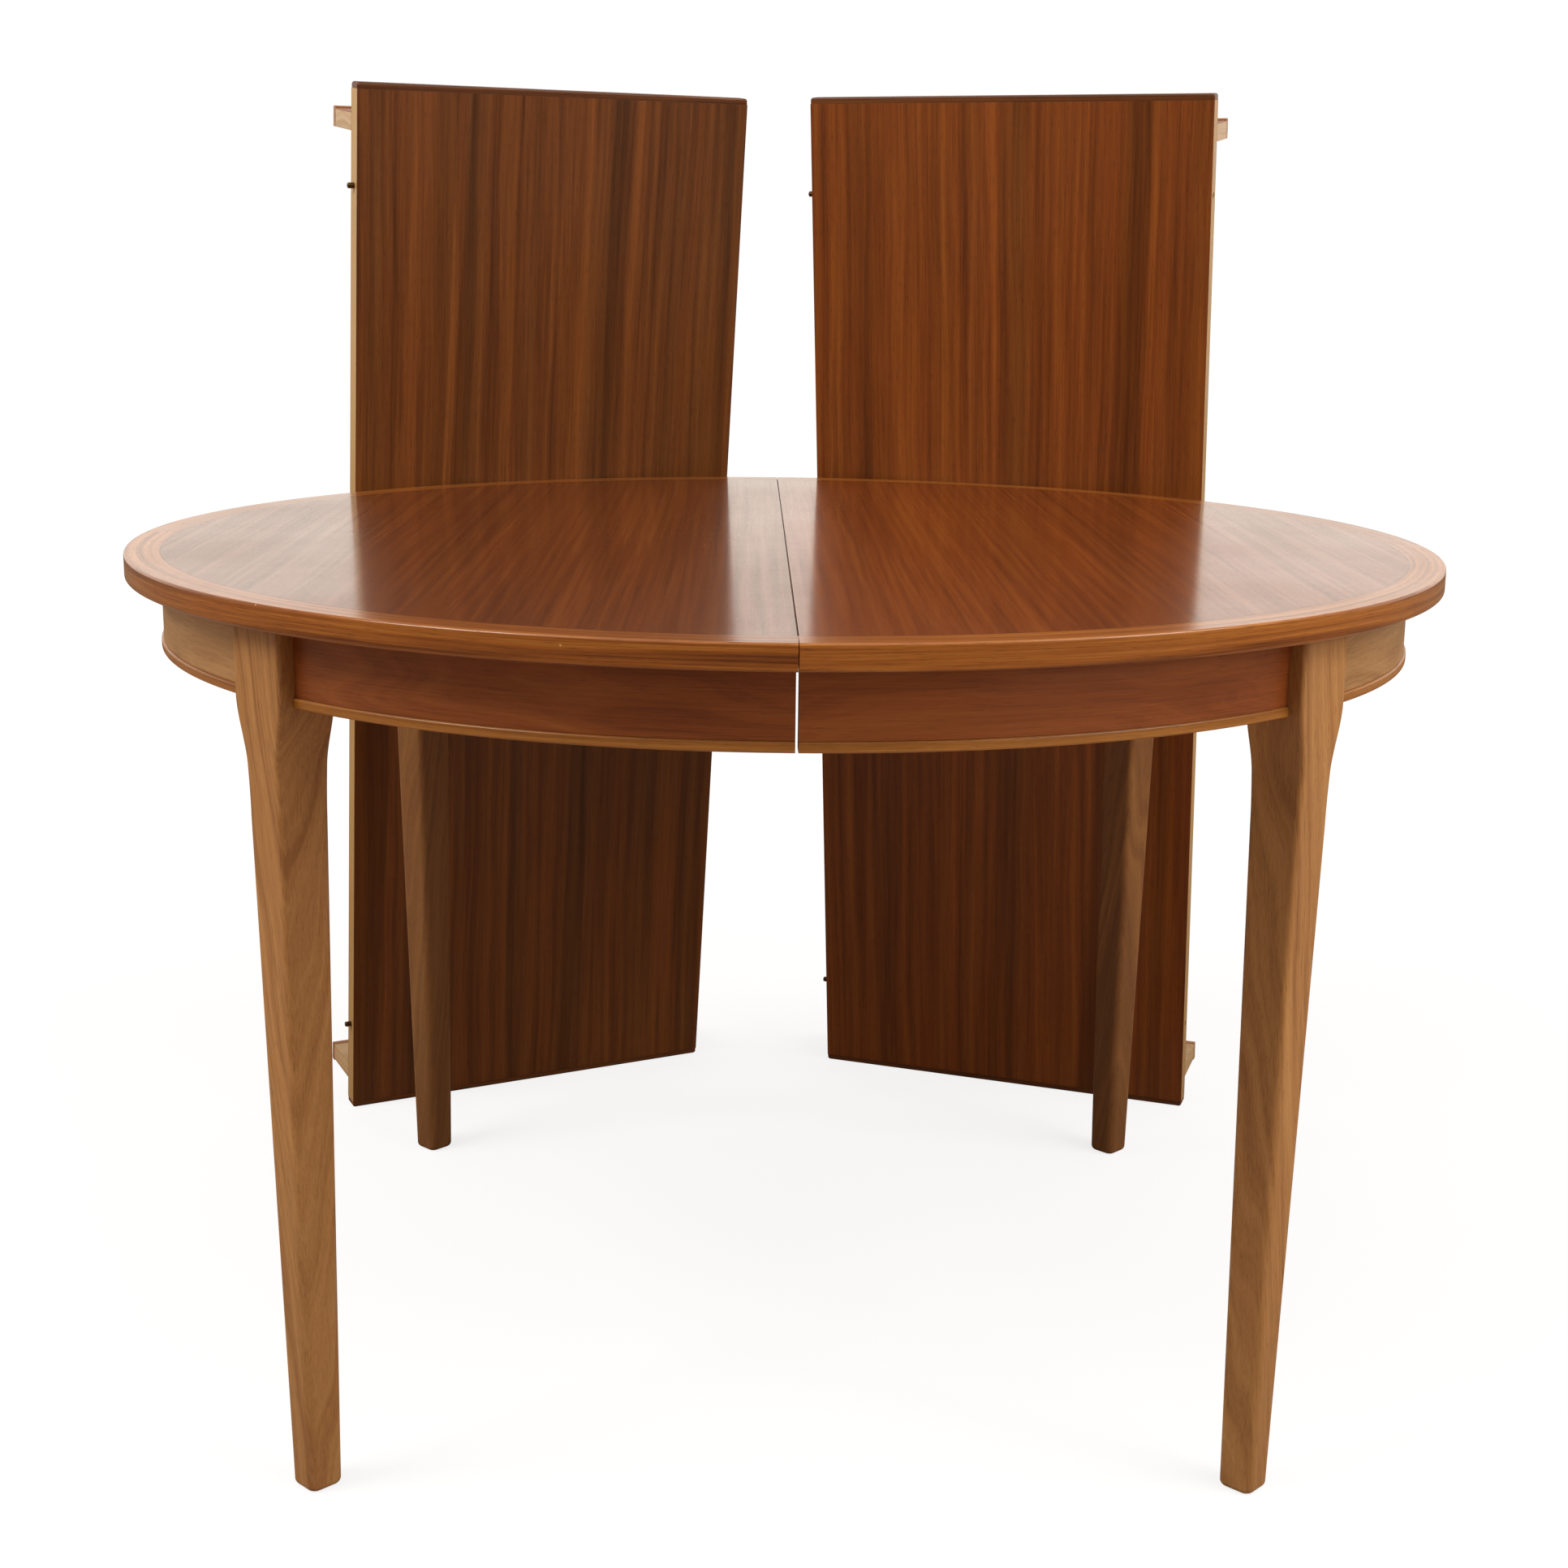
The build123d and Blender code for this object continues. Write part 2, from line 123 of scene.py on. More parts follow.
camera = bpy.data.objects.new("camera", bpy.data.cameras.new("camera"))
camera.data.lens = CAMERA_LENS
camera.data.sensor_width = 36
camera.data.shift_y = CAMERA_SHIFT_UP
camera.data.dof.use_dof = False
camera.matrix_world = Matrix((
    (right.x, upward.x, -forward.x, CAMERA_PLACE.x),
    (right.y, upward.y, -forward.y, CAMERA_PLACE.y),
    (right.z, upward.z, -forward.z, CAMERA_PLACE.z),
    (0, 0, 0, 1),
))
SCENE.collection.objects.link(camera)
SCENE.camera = camera
print("camera at", [round(c, 3) for c in CAMERA_PLACE])

# %% [markdown]
# ## Helpers for node trees
#
# Materials, shader groups and Geometry Nodes are all trees of nodes. Small helpers keep them
# short: one adds a node and wires it, one does arithmetic, one maps a range, and one mixes
# colours. A socket knows its tree, so most of them need no more than the sockets.


# %% Node helpers
def wire(socket, value):
    """Link a socket if the value is another socket, or else set it."""
    if isinstance(value, bpy.types.NodeSocket):
        socket.id_data.links.new(value, socket)
    else:
        socket.default_value = value


def add(tree, kind, values=(), **settings):
    """Add a node, set its properties, and fill its inputs by name or number."""
    node = tree.nodes.new(kind)
    for name, setting in settings.items():
        setattr(node, name, setting)
    for key, value in dict(values).items():
        wire(node.inputs[key], value)
    return node


def tree_of(*values):
    """The tree of the first socket among some values."""
    return next(value.id_data for value in values if isinstance(value, bpy.types.NodeSocket))


def calc(operation, *values, clamp=False):
    """One arithmetic node, whose answer is returned."""
    settings = {"operation": operation, "use_clamp": clamp}
    return add(tree_of(*values), "ShaderNodeMath", enumerate(values), **settings).outputs[0]


plus, minus, times, over, times_plus = (
    partial(calc, operation) for operation in ("ADD", "SUBTRACT", "MULTIPLY", "DIVIDE", "MULTIPLY_ADD")
)


def ramp_between(value, low, high, new_low=0.0, new_high=1.0, smooth=False):
    """Map a range onto another one, held at both ends."""
    way = "SMOOTHSTEP" if smooth else "LINEAR"
    sizes = {0: value, 1: low, 2: high, 3: new_low, 4: new_high}
    return add(value.id_data, "ShaderNodeMapRange", sizes, interpolation_type=way).outputs[0]


def vector_of(x, y, z):
    """Join three numbers into a vector."""
    return add(tree_of(x, y, z), "ShaderNodeCombineXYZ", {0: x, 1: y, 2: z}).outputs[0]


def numbers_of(vector):
    """Split a vector into its three numbers."""
    return add(vector.id_data, "ShaderNodeSeparateXYZ", {0: vector}).outputs


def noise_at(point, scale, detail, roughness):
    """Noise between 0 and 1 at a point."""
    values = {"Vector": point, "Scale": scale, "Detail": detail, "Roughness": roughness}
    return add(point.id_data, "ShaderNodeTexNoise", values).outputs["Fac"]


def mix(kind, factor, a, b):
    """Mix two colours."""
    settings = {"data_type": "RGBA", "blend_type": kind, "clamp_result": True}
    return add(tree_of(factor, a, b), "ShaderNodeMix", {0: factor, 6: a, 7: b}, **settings).outputs[2]


def group_tree(name, kind, inputs, outputs):
    """A node group with named inputs and outputs. A plain number makes a number input."""
    tree = bpy.data.node_groups.new(name, kind)
    for title, given in inputs.items():
        socket_type, default = given if isinstance(given, tuple) else (NUMBER, given)
        socket = tree.interface.new_socket(title, in_out="INPUT", socket_type=socket_type)
        if default is not None:
            socket.default_value = default
    for title, socket_type in outputs.items():
        tree.interface.new_socket(title, in_out="OUTPUT", socket_type=socket_type)
    return tree, tree.nodes.new("NodeGroupInput"), tree.nodes.new("NodeGroupOutput")


NUMBER = "NodeSocketFloat"
POINT = "NodeSocketVector"
print("helpers ready")

# %% [markdown]
# ## How timber shows its grain
#
# A tree grows in layers. A board cut from it shows those layers as lines where it is cut across
# them, and as wandering arches where it is cut along them. One shader group can do both if it
# works in the timber's own directions: X runs across the layers and Z along the grain. Every
# wooden piece below carries an attribute called *timber* that holds those directions, in metres.
#
# The group puts out the fine layers, the broad changes of colour, the pores and a height for the
# bump. The colours stay in each material.


# %% Shader group: timber figure
def timber_group():
    """Layers, colour bands, pores and height of cut wood."""
    tree, given, made = group_tree(
        "timber_figure",
        "ShaderNodeTree",
        {
            "Timber": (POINT, None),
            "Layer": 0.005,
            "Wander": 0.01,
            "Swirl": 0.16,
            "Band": 0.045,
        },
        {"Layers": NUMBER, "Bands": NUMBER, "Pores": NUMBER, "Height": NUMBER},
    )
    timber = given.outputs["Timber"]
    x, y, z = numbers_of(timber)

    def noise(scale, detail, roughness=0.5):
        """Noise over the timber's directions, stretched along the grain."""
        place = add(tree, "ShaderNodeVectorMath", {0: timber, 1: scale}, operation="MULTIPLY")
        return noise_at(place.outputs[0], 1.0, detail, roughness)

    slow = minus(noise((5, 5, 1.1), 2.0), 0.5)
    quick = minus(noise((22, 22, 5), 1.0), 0.5)
    sway = times_plus(quick, given.outputs["Swirl"], slow)
    across = times_plus(sway, times(given.outputs["Wander"], 2.0), x)

    layer_place = over(across, given.outputs["Layer"])
    depth_place = times(y, 2.0)
    layer_point = vector_of(layer_place, depth_place, times(z, 1.6))
    layers = ramp_between(noise_at(layer_point, 1.0, 5.0, 0.6), 0.28, 0.72)

    band_place = over(across, given.outputs["Band"])
    band_point = vector_of(band_place, 7.3, times(z, 0.35))
    bands = ramp_between(noise_at(band_point, 1.0, 2.0, 0.5), 0.32, 0.68)

    pores = ramp_between(noise((1500, 1500, 70), 2.0), 0.56, 0.72)
    fibre = noise((800, 800, 12), 2.0, 0.6)
    height = times_plus(pores, -1.0, times(fibre, 0.35))
    streaked = times_plus(minus(fibre, 0.5), 0.9, layers)
    for title, answer in {"Layers": streaked, "Bands": bands, "Pores": pores, "Height": height}.items():
        wire(made.inputs[title], answer)
    return tree


TIMBER = timber_group()
print("timber group:", [item.name for item in TIMBER.interface.items_tree])

# %% [markdown]
# Years of hands and cloths leave a varnish unevenly polished, and a few small marks in it. That
# is the same on every varnished piece, so it is a second group, on Object coordinates.


# %% Shader group: use
def use_group():
    """Uneven polish and small marks of a varnished surface."""
    tree, given, made = group_tree(
        "marks_of_use",
        "ShaderNodeTree",
        {"Place": (POINT, None), "Amount": 1.0},
        {"Dull": NUMBER, "Marks": NUMBER},
    )
    patches = noise_at(given.outputs["Place"], 6.0, 4.0, 0.6)
    values = {"Vector": given.outputs["Place"], "Scale": 38.0, "Randomness": 1.0}
    cells = add(tree, "ShaderNodeTexVoronoi", values).outputs["Distance"]
    marks = ramp_between(cells, 0.0, 0.045, 1.0, 0.0)
    dull = ramp_between(patches, 0.35, 0.65)
    wire(made.inputs["Dull"], times(dull, given.outputs["Amount"]))
    wire(made.inputs["Marks"], times(marks, given.outputs["Amount"]))
    return tree


USE = use_group()
print("use group:", [item.name for item in USE.interface.items_tree])

# %% [markdown]
# ## Wood finishes
#
# A finish is three colours, from the dark of a late layer to the light of an early one, and two
# tints between which the broad bands move. On top of that come only what one piece needs: broad
# streaks in a sheet of veneer, the pale wood under a veneer, a line of glue, a shaded foot. A
# polished piece also gets a film of varnish, thinner in the pores and where hands dulled it.


# %% Colour helpers
def linear(colour):
    """Colour as a paint chart gives it, 0 to 255, to the linear values that shaders use."""
    share = [c / 255 for c in colour]
    return [c / 12.92 if c <= 0.04045 else ((c + 0.055) / 1.055) ** 2.4 for c in share] + [1.0]


def darker(colour, share):
    """A colour with only a share of its light."""
    return linear([c * share for c in colour])


def new_material(name):
    """An empty material with its shader wired to its output."""
    material = bpy.data.materials.new(name)
    material.use_nodes = True
    tree = material.node_tree
    tree.nodes.clear()
    shader = tree.nodes.new("ShaderNodeBsdfPrincipled")
    output = tree.nodes.new("ShaderNodeOutputMaterial")
    tree.links.new(shader.outputs[0], output.inputs[0])
    return material, tree, shader


print("a mid brown is", [round(c, 3) for c in linear((128, 80, 40))[:3]])

# %% [markdown]
# The material is one function, so that every board is built alike. Its numbers come first: how
# dark pores, marks and glue are beside the dark layer, how rough the surface is and how thick the
# film of varnish lies, and how deep a veneer goes.

# %% Wood material
MIDDLE_LAYER = 0.45  # where the middle colour stands between dark and light
PORE_TONE, SHADE_TONE, GLUE_TONE, MARK_TONE = 0.45, 0.4, 0.5, 0.6  # shares of the dark layer's colour
GLUE_STRENGTH, MARK_STRENGTH, NICK_STRENGTH = 0.6, 0.35, 0.8
PORE_ROUGH, DULL_ROUGH, UNDER_VARNISH = 0.08, 0.06, 0.36
FILM_ON_LAYERS, FILM_LOST_IN_PORES, FILM_LOST_TO_HANDS = 0.15, 0.14, 0.08
VENEER = 1.1 * MM
GLUE_LINE = 0.9 * MM
LOW_SHADE_TOP = 450 * MM
STREAK_LEAN, STREAK_SWAY = -0.03, 8 * MM


def layer_colours(layers, colours):
    """Colours from the dark of a late layer to the light of an early one."""
    dark, middle, light = colours
    ramp = add(layers.id_data, "ShaderNodeValToRGB", {0: layers})
    stops = ramp.color_ramp.elements
    stops[0].color = linear(dark)
    stops[1].color = linear(light)
    stops.new(MIDDLE_LAYER).color = linear(middle)
    return ramp.outputs[0]


def wood(
    name, colours, tints, layer, wander, band, swirl=0.16, gloss=0.3, pores=0.4, depth=0.1, shine=0.4,
    varnish=0.0, under=None, glue_line=False, nicks=None, backing=None, low_shade=0.0, streaks=(),
):
    """A varnished timber finish: dark, middle and light layers, and two tints for the broad bands."""
    dark = colours[0]
    cool, warm = tints
    material, tree, shader = new_material(name)
    timber = add(tree, "ShaderNodeAttribute", attribute_name="timber").outputs["Vector"]
    place = tree.nodes.new("ShaderNodeTexCoord").outputs["Object"]
    values = {"Timber": timber, "Layer": layer, "Wander": wander, "Swirl": swirl, "Band": band}
    figure = add(tree, "ShaderNodeGroup", values, node_tree=TIMBER).outputs
    marks = add(tree, "ShaderNodeGroup", {"Place": place}, node_tree=USE).outputs

    tint = mix("MIX", figure["Bands"], [*cool, 1.0], [*warm, 1.0])
    colour = mix("MULTIPLY", 1.0, layer_colours(figure["Layers"], colours), tint)
    if streaks:
        across, _, along = numbers_of(timber)
        swayed = times_plus(along, STREAK_LEAN, across)
        swayed = times_plus(figure["Bands"], STREAK_SWAY, swayed)
    for streak, half, tone in streaks:
        away = calc("ABSOLUTE", minus(swayed, streak))
        strength = ramp_between(away, 0.45 * half, half, 1.0, 0.0, smooth=True)
        colour = mix("MULTIPLY", strength, colour, [tone, tone, tone, 1.0])
    colour = mix("MIX", times(figure["Pores"], pores), colour, darker(dark, PORE_TONE))
    if under is not None:
        skin = add(tree, "ShaderNodeAttribute", attribute_name="skin").outputs["Fac"]
        bare = ramp_between(skin, VENEER, 1.3 * VENEER)
        colour = mix("MIX", bare, colour, layer_colours(figure["Layers"], under))
    x, y, z = numbers_of(place)
    if backing is not None:
        above = ramp_between(z, UNDER_Z + 0.2 * MM, UNDER_Z + 0.6 * MM)
        colour = mix("MIX", above, layer_colours(figure["Layers"], backing), colour)
    if low_shade:
        shade = ramp_between(z, 0.0, LOW_SHADE_TOP, low_shade, 0.0, smooth=True)
        colour = mix("MIX", shade, colour, darker(dark, SHADE_TONE))
    if glue_line:
        flat = vector_of(x, minus(y, AXIS.y), 0.0)
        radius = add(tree, "ShaderNodeVectorMath", {0: flat}, operation="LENGTH").outputs["Value"]
        away = calc("ABSOLUTE", minus(radius, FIELD_RADIUS))
        line = ramp_between(away, 0.3 * GLUE_LINE, GLUE_LINE, GLUE_STRENGTH, 0.0)
        colour = mix("MIX", line, colour, darker(dark, GLUE_TONE))
    spots = times(marks["Marks"], MARK_STRENGTH if nicks is None else NICK_STRENGTH)
    colour = mix("MIX", spots, colour, linear(nicks) if nicks else darker(dark, MARK_TONE))
    wire(shader.inputs["Base Color"], colour)

    rough = times_plus(figure["Pores"], PORE_ROUGH, max(gloss, UNDER_VARNISH) if varnish else gloss)
    wire(shader.inputs["Roughness"], times_plus(marks["Dull"], DULL_ROUGH, rough))
    bump = add(tree, "ShaderNodeBump", {"Strength": depth, "Distance": 0.4 * MM, "Height": figure["Height"]})
    wire(shader.inputs["Normal"], bump.outputs[0])
    shader.inputs["Specular IOR Level"].default_value = shine
    if varnish:
        film = times_plus(figure["Layers"], FILM_ON_LAYERS, varnish - FILM_ON_LAYERS / 2)
        film = times_plus(figure["Pores"], -FILM_LOST_IN_PORES, film)
        film = times_plus(marks["Dull"], -FILM_LOST_TO_HANDS, film, clamp=True)
        if backing is not None:
            film = times(film, above)
        wire(shader.inputs["Coat Weight"], film)
        shader.inputs["Coat Roughness"].default_value = gloss
    return material


print("wood material ready")

# %% [markdown]
# Each piece is a board from its own place in the log, so no two pieces show the same figure. The
# show veneer of a leaf has broad streaks at set places across the leaf, and they have to be
# counted from that leaf's place in the log.

# %% Places in the log
LOG_STEP = 3.7  # metres between one board's place in the log and the next one's
LEAF_PART_COUNT = 8
SHOW_VENEER = 2  # its place among the parts of a leaf


def leaf_log(leaf, part):
    """Place in the log of one part of a leaf."""
    return (leaf * LEAF_PART_COUNT + part) * LOG_STEP


def leaf_streaks(leaf, *streaks):
    """Streaks of a leaf's show veneer, measured across the leaf: place, half width and tone."""
    board = leaf_log(leaf, SHOW_VENEER) * (1 + STREAK_LEAN)
    return [(place + board, half, tone) for place, half, tone in streaks]


print("leaf boards at", [round(leaf_log(leaf, SHOW_VENEER), 1) for leaf in (0, 1)], "m")

# %% [markdown]
# Pieces of one kind share a recipe of sizes, and differ in their colours. The left half of the
# top and the right leaf come from other boards than their mates, so they have colours of their
# own. The side aprons get a paler copy of the apron walnut, which is painted light for the
# stronger light on the sides. The rear legs get a darker copy of the leg walnut, which is
# painted shade for the table's shadow on them.

# %% Wood finishes
PALE_WARM = (1.04, 1.02, 1.0)
SOFT_TINTS = [(0.9, 0.9, 0.9), (1.06, 1.04, 1.0)]
TOP_TINTS = [(0.86, 0.87, 0.88), (1.12, 1.06, 1.0)]
LEG_TINTS = [(0.9, 0.86, 0.84), (1.06, 1.05, 1.0)]
BACKING = [(104, 66, 36), (130, 84, 46), (152, 104, 60)]
TOP_CUT = {
    "layer": 0.0075, "wander": 0.007, "band": 0.06, "swirl": 0.1, "gloss": 0.14, "pores": 0.3, "shine": 0.1,
    "varnish": 0.84, "glue_line": True, "backing": BACKING,
}
APRON_CUT = {"layer": 0.0045, "wander": 0.03, "band": 0.04, "swirl": 0.45, "pores": 0.3}
LEG_CUT = {"layer": 0.005, "wander": 0.016, "band": 0.03, "swirl": 0.8, "pores": 0.35, "low_shade": 0.14}
LEAF_CUT = {"layer": 0.010, "wander": 0.014, "band": 0.05, "swirl": 0.25, "pores": 0.45, "shine": 0.3}
FINISH = {
    "top_veneer": wood("walnut_top", [(92, 41, 12), (114, 54, 17), (137, 72, 25)], TOP_TINTS, **TOP_CUT),
    "rim_walnut": wood(
        "walnut_rim", [(92, 45, 15), (142, 79, 27), (182, 116, 48)], [(0.88, 0.88, 0.88), (1.1, 1.05, 1.0)],
        layer=0.0038, wander=0.007, band=0.03, swirl=0.3, gloss=0.17, shine=0.1, varnish=0.85, glue_line=True,
        nicks=(222, 178, 128),
    ),
    "apron_walnut": wood(
        "walnut_apron", [(108, 52, 22), (136, 71, 31), (154, 87, 41)], [(0.86, 0.88, 0.9), (1.08, 1.03, 1.0)],
        **APRON_CUT,
    ),
    "bead_walnut": wood(
        "walnut_bead", [(122, 72, 28), (152, 95, 40), (178, 119, 56)], [(0.92, 0.92, 0.9), (1.06, 1.03, 1.0)],
        layer=0.0035, wander=0.005, band=0.03, gloss=0.28,
    ),
    "leg_walnut": wood(
        "walnut_leg", [(144, 95, 52), (170, 120, 70), (188, 139, 85)], LEG_TINTS, gloss=0.34, **LEG_CUT,
    ),
    "leaf_veneer": wood(
        "walnut_leaf", [(80, 43, 19), (107, 59, 26), (131, 76, 34)], [(0.72, 0.80, 0.82), (1.2, 1.07, 0.92)],
        **LEAF_CUT,
        streaks=leaf_streaks(0, (0.040, 0.012, 1.25), (0.080, 0.030, 0.74), (0.086, 0.006, 1.45),
                             (0.262, 0.012, 0.82)),
    ),
    "leaf_back_veneer": wood(
        "walnut_leaf_back", BACKING, SOFT_TINTS, layer=0.012, wander=0.016, band=0.05, gloss=0.45,
    ),
    "leaf_core": wood(
        "blockboard", [(176, 140, 92), (196, 160, 110), (210, 176, 128)], [(0.94, 0.93, 0.9), PALE_WARM],
        layer=0.014, wander=0.006, band=0.05, gloss=0.6, pores=0.15,
    ),
    "leaf_apron": wood(
        "walnut_leaf_apron", [(96, 44, 18), (136, 69, 30), (158, 88, 42)],
        [(0.9, 0.9, 0.9), (1.08, 1.04, 1.0)],
        layer=0.007, wander=0.02, band=0.05, swirl=0.35, gloss=0.34, pores=0.3,
        under=[(158, 122, 80), (184, 148, 106), (200, 168, 126)],
    ),
    "pale_strip": wood(
        "birch_strip", [(156, 118, 68), (174, 136, 84), (190, 154, 102)], [(0.92, 0.92, 0.9), PALE_WARM],
        layer=0.006, wander=0.004, band=0.03, gloss=0.42, pores=0.15,
    ),
    "inner_softwood": wood(
        "pine_block", [(190, 138, 80), (212, 166, 106), (226, 188, 132)], [(0.92, 0.9, 0.88), PALE_WARM],
        layer=0.012, wander=0.012, band=0.04, gloss=0.55, pores=0.05, depth=0.05,
    ),
    "runner_beech": wood(
        "beech_runner", [(178, 128, 84), (196, 148, 102), (208, 164, 120)], [(0.94, 0.92, 0.9), PALE_WARM],
        layer=0.009, wander=0.008, band=0.04, gloss=0.42, pores=0.3, depth=0.05,
    ),
}
dark_lipping = wood(
    "walnut_leaf_lipping", [(72, 40, 18), (96, 53, 24), (118, 68, 31)], SOFT_TINTS,
    layer=0.004, wander=0.004, band=0.03, gloss=0.34, shine=0.3,
)
# painted light: a paler copy of the apron walnut stands for the stronger light on the side aprons
painted_light_side_apron = wood(
    "walnut_side_apron", [(136, 94, 54), (165, 121, 76), (187, 143, 96)],
    [(0.9, 0.91, 0.92), (1.08, 1.04, 1.0)], gloss=0.28, **APRON_CUT,
)
# painted shade: a darker copy of the leg walnut stands for the table's shadow on the rear legs
painted_shade_rear_leg = wood(
    "walnut_rear_leg_painted_shade", [(106, 63, 30), (124, 79, 39), (140, 93, 48)], LEG_TINTS, gloss=0.36, **LEG_CUT,
)
# colours of other boards, and copies with painted light and painted shade
BOARD_AND_LIGHT_VARIANTS = {
    "field_left": wood("walnut_top_left", [(80, 36, 12), (99, 47, 16), (121, 63, 24)], TOP_TINTS, **TOP_CUT),
    "leaf_right_face_veneer_eased": wood(
        "walnut_leaf_right", [(91, 46, 17), (121, 63, 25), (146, 82, 32)],
        [(0.72, 0.78, 0.80), (1.2, 1.06, 0.92)], **LEAF_CUT,
        streaks=leaf_streaks(1, (0.042, 0.010, 0.84), (0.172, 0.024, 1.22), (0.338, 0.020, 0.62)),
    ),
}
for side in ("left", "right"):
    BOARD_AND_LIGHT_VARIANTS[f"leaf_{side}_end_lippings_eased"] = dark_lipping
    BOARD_AND_LIGHT_VARIANTS[f"apron_side_{side}_rail"] = painted_light_side_apron
    BOARD_AND_LIGHT_VARIANTS[f"leg_rear_{side}_tapered"] = painted_shade_rear_leg
print("wood finishes:", sorted(FINISH))

# %% [markdown]
# ## Metal
#
# Screws, bolts and pins are small. Their plating still shows brushing and some dulling, which a
# noise on Object coordinates gives.


# %% Metal material
def metal(name, bright, tarnished, gloss):
    """Plated metal with uneven dulling."""
    material, tree, shader = new_material(name)
    place = tree.nodes.new("ShaderNodeTexCoord").outputs["Object"]
    spread = ramp_between(noise_at(place, 420.0, 4.0, 0.7), 0.35, 0.7)
    wire(shader.inputs["Base Color"], mix("MIX", spread, linear(bright), linear(tarnished)))
    wire(shader.inputs["Roughness"], times_plus(spread, 0.2, gloss))
    shader.inputs["Metallic"].default_value = 1.0
    return material


FINISH["zinc_steel"] = metal("zinc_plate", (196, 200, 204), (140, 142, 144), 0.32)
FINISH["pin_brass"] = metal("dark_brass", (112, 84, 48), (52, 38, 26), 0.38)
print("metals: zinc_plate, dark_brass")

# %% [markdown]
# ## Turning a tree of nodes into a piece
#
# A Geometry Nodes tree makes a shape from named sizes. The next helper puts a tree on an empty
# mesh, sets its sizes, lets Blender work it out, and keeps the result as a plain mesh. A
# weighted-normal modifier keeps broad faces flat while their rounded edges stay smooth.

# %% Piece helpers
SHARP_ANGLE = radians(38)
FLAT_WEIGHT = 60
MERGE = 1e-6


def worked_out(thing):
    """The plain mesh of an object once its modifiers have done their work."""
    bpy.context.view_layer.update()
    return bpy.data.meshes.new_from_object(thing.evaluated_get(bpy.context.evaluated_depsgraph_get()))


def holder_of(mesh):
    """An object that holds a mesh while modifiers work on it."""
    holder = bpy.data.objects.new("holder", mesh)
    SCENE.collection.objects.link(holder)
    return holder


def keep_piece(name, mesh, slot, body, nodes):
    """Link a finished mesh as a piece of the table."""
    mesh.name = name
    piece = bpy.data.objects.new(name, mesh)
    SCENE.collection.objects.link(piece)
    mesh.materials.clear()
    mesh.materials.append(BOARD_AND_LIGHT_VARIANTS.get(name, FINISH[slot]))
    mesh.polygons.foreach_set("material_index", [0] * len(mesh.polygons))
    mesh.polygons.foreach_set("use_smooth", [True] * len(mesh.polygons))
    mesh.set_sharp_from_angle(angle=SHARP_ANGLE)
    weigh = piece.modifiers.new("weigh", "WEIGHTED_NORMAL")
    weigh.keep_sharp = True
    weigh.weight = FLAT_WEIGHT
    piece.data = worked_out(piece)
    piece.data.name = name
    piece.modifiers.clear()
    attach(piece, body)
    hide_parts(*nodes)


def grow(tree, sizes):
    """The plain mesh that a Geometry Nodes tree makes from the given sizes."""
    holder = holder_of(bpy.data.meshes.new("holder"))
    modifier = holder.modifiers.new("grow", "NODES")
    modifier.node_group = tree
    sockets = {s.name: s.identifier for s in tree.interface.items_tree if s.in_out == "INPUT"}
    for title, value in sizes.items():
        modifier[sockets[title]] = value
    mesh = worked_out(holder)
    bpy.data.objects.remove(holder)
    return mesh


def face_out(mesh):
    """Turn the faces outwards, and say how large and how well closed the mesh is."""
    shape = bmesh.new()
    shape.from_mesh(mesh)
    volume = shape.calc_volume(signed=True)
    loose = sum(not edge.is_manifold for edge in shape.edges)
    shape.free()
    if volume < 0:
        mesh.flip_normals()
    return f"{len(mesh.polygons)} faces, {abs(volume) * 1e6:.0f} cm3, {loose} open edges"


print("piece helpers ready")

# %% [markdown]
# ## Rails that follow the rim
#
# The lipping round the top, the aprons under it and the beads along their feet are all the same
# thing: a small section swept along an arc. In Geometry Nodes that is an Arc, a Quadrilateral
# whose corners are filleted, and Curve to Mesh. The same tree makes all sixteen rails.
#
# The timber directions are worked out in the tree, where the arc is known. X runs outwards from
# the axis and is tilted upwards a little, because a board's layers are seldom square to its
# faces, so the top and the edge both show lines. Z is the length along the arc, so the grain
# bends with the rail, as it does in wood that was bent or laminated.


# %% Geometry Nodes: shared endings
def position_of(tree):
    """The three numbers of a point's position."""
    return numbers_of(tree.nodes.new("GeometryNodeInputPosition").outputs[0])


def store(tree, geometry, name, vector):
    """Store a vector on every point."""
    values = {"Geometry": geometry, "Name": name, "Value": vector}
    settings = {"data_type": "FLOAT_VECTOR", "domain": "POINT"}
    return add(tree, "GeometryNodeStoreNamedAttribute", values, **settings).outputs[0]


def finish_tree(tree, made, geometry, material):
    """End a tree with real geometry in its material."""
    real = add(tree, "GeometryNodeRealizeInstances", {0: geometry})
    painted = add(tree, "GeometryNodeSetMaterial", {0: real.outputs[0], "Material": material})
    wire(made.inputs[0], painted.outputs[0])
    return tree


print("shared endings ready")


# %% Geometry Nodes: bent rail
RAIL_STEPS = 96


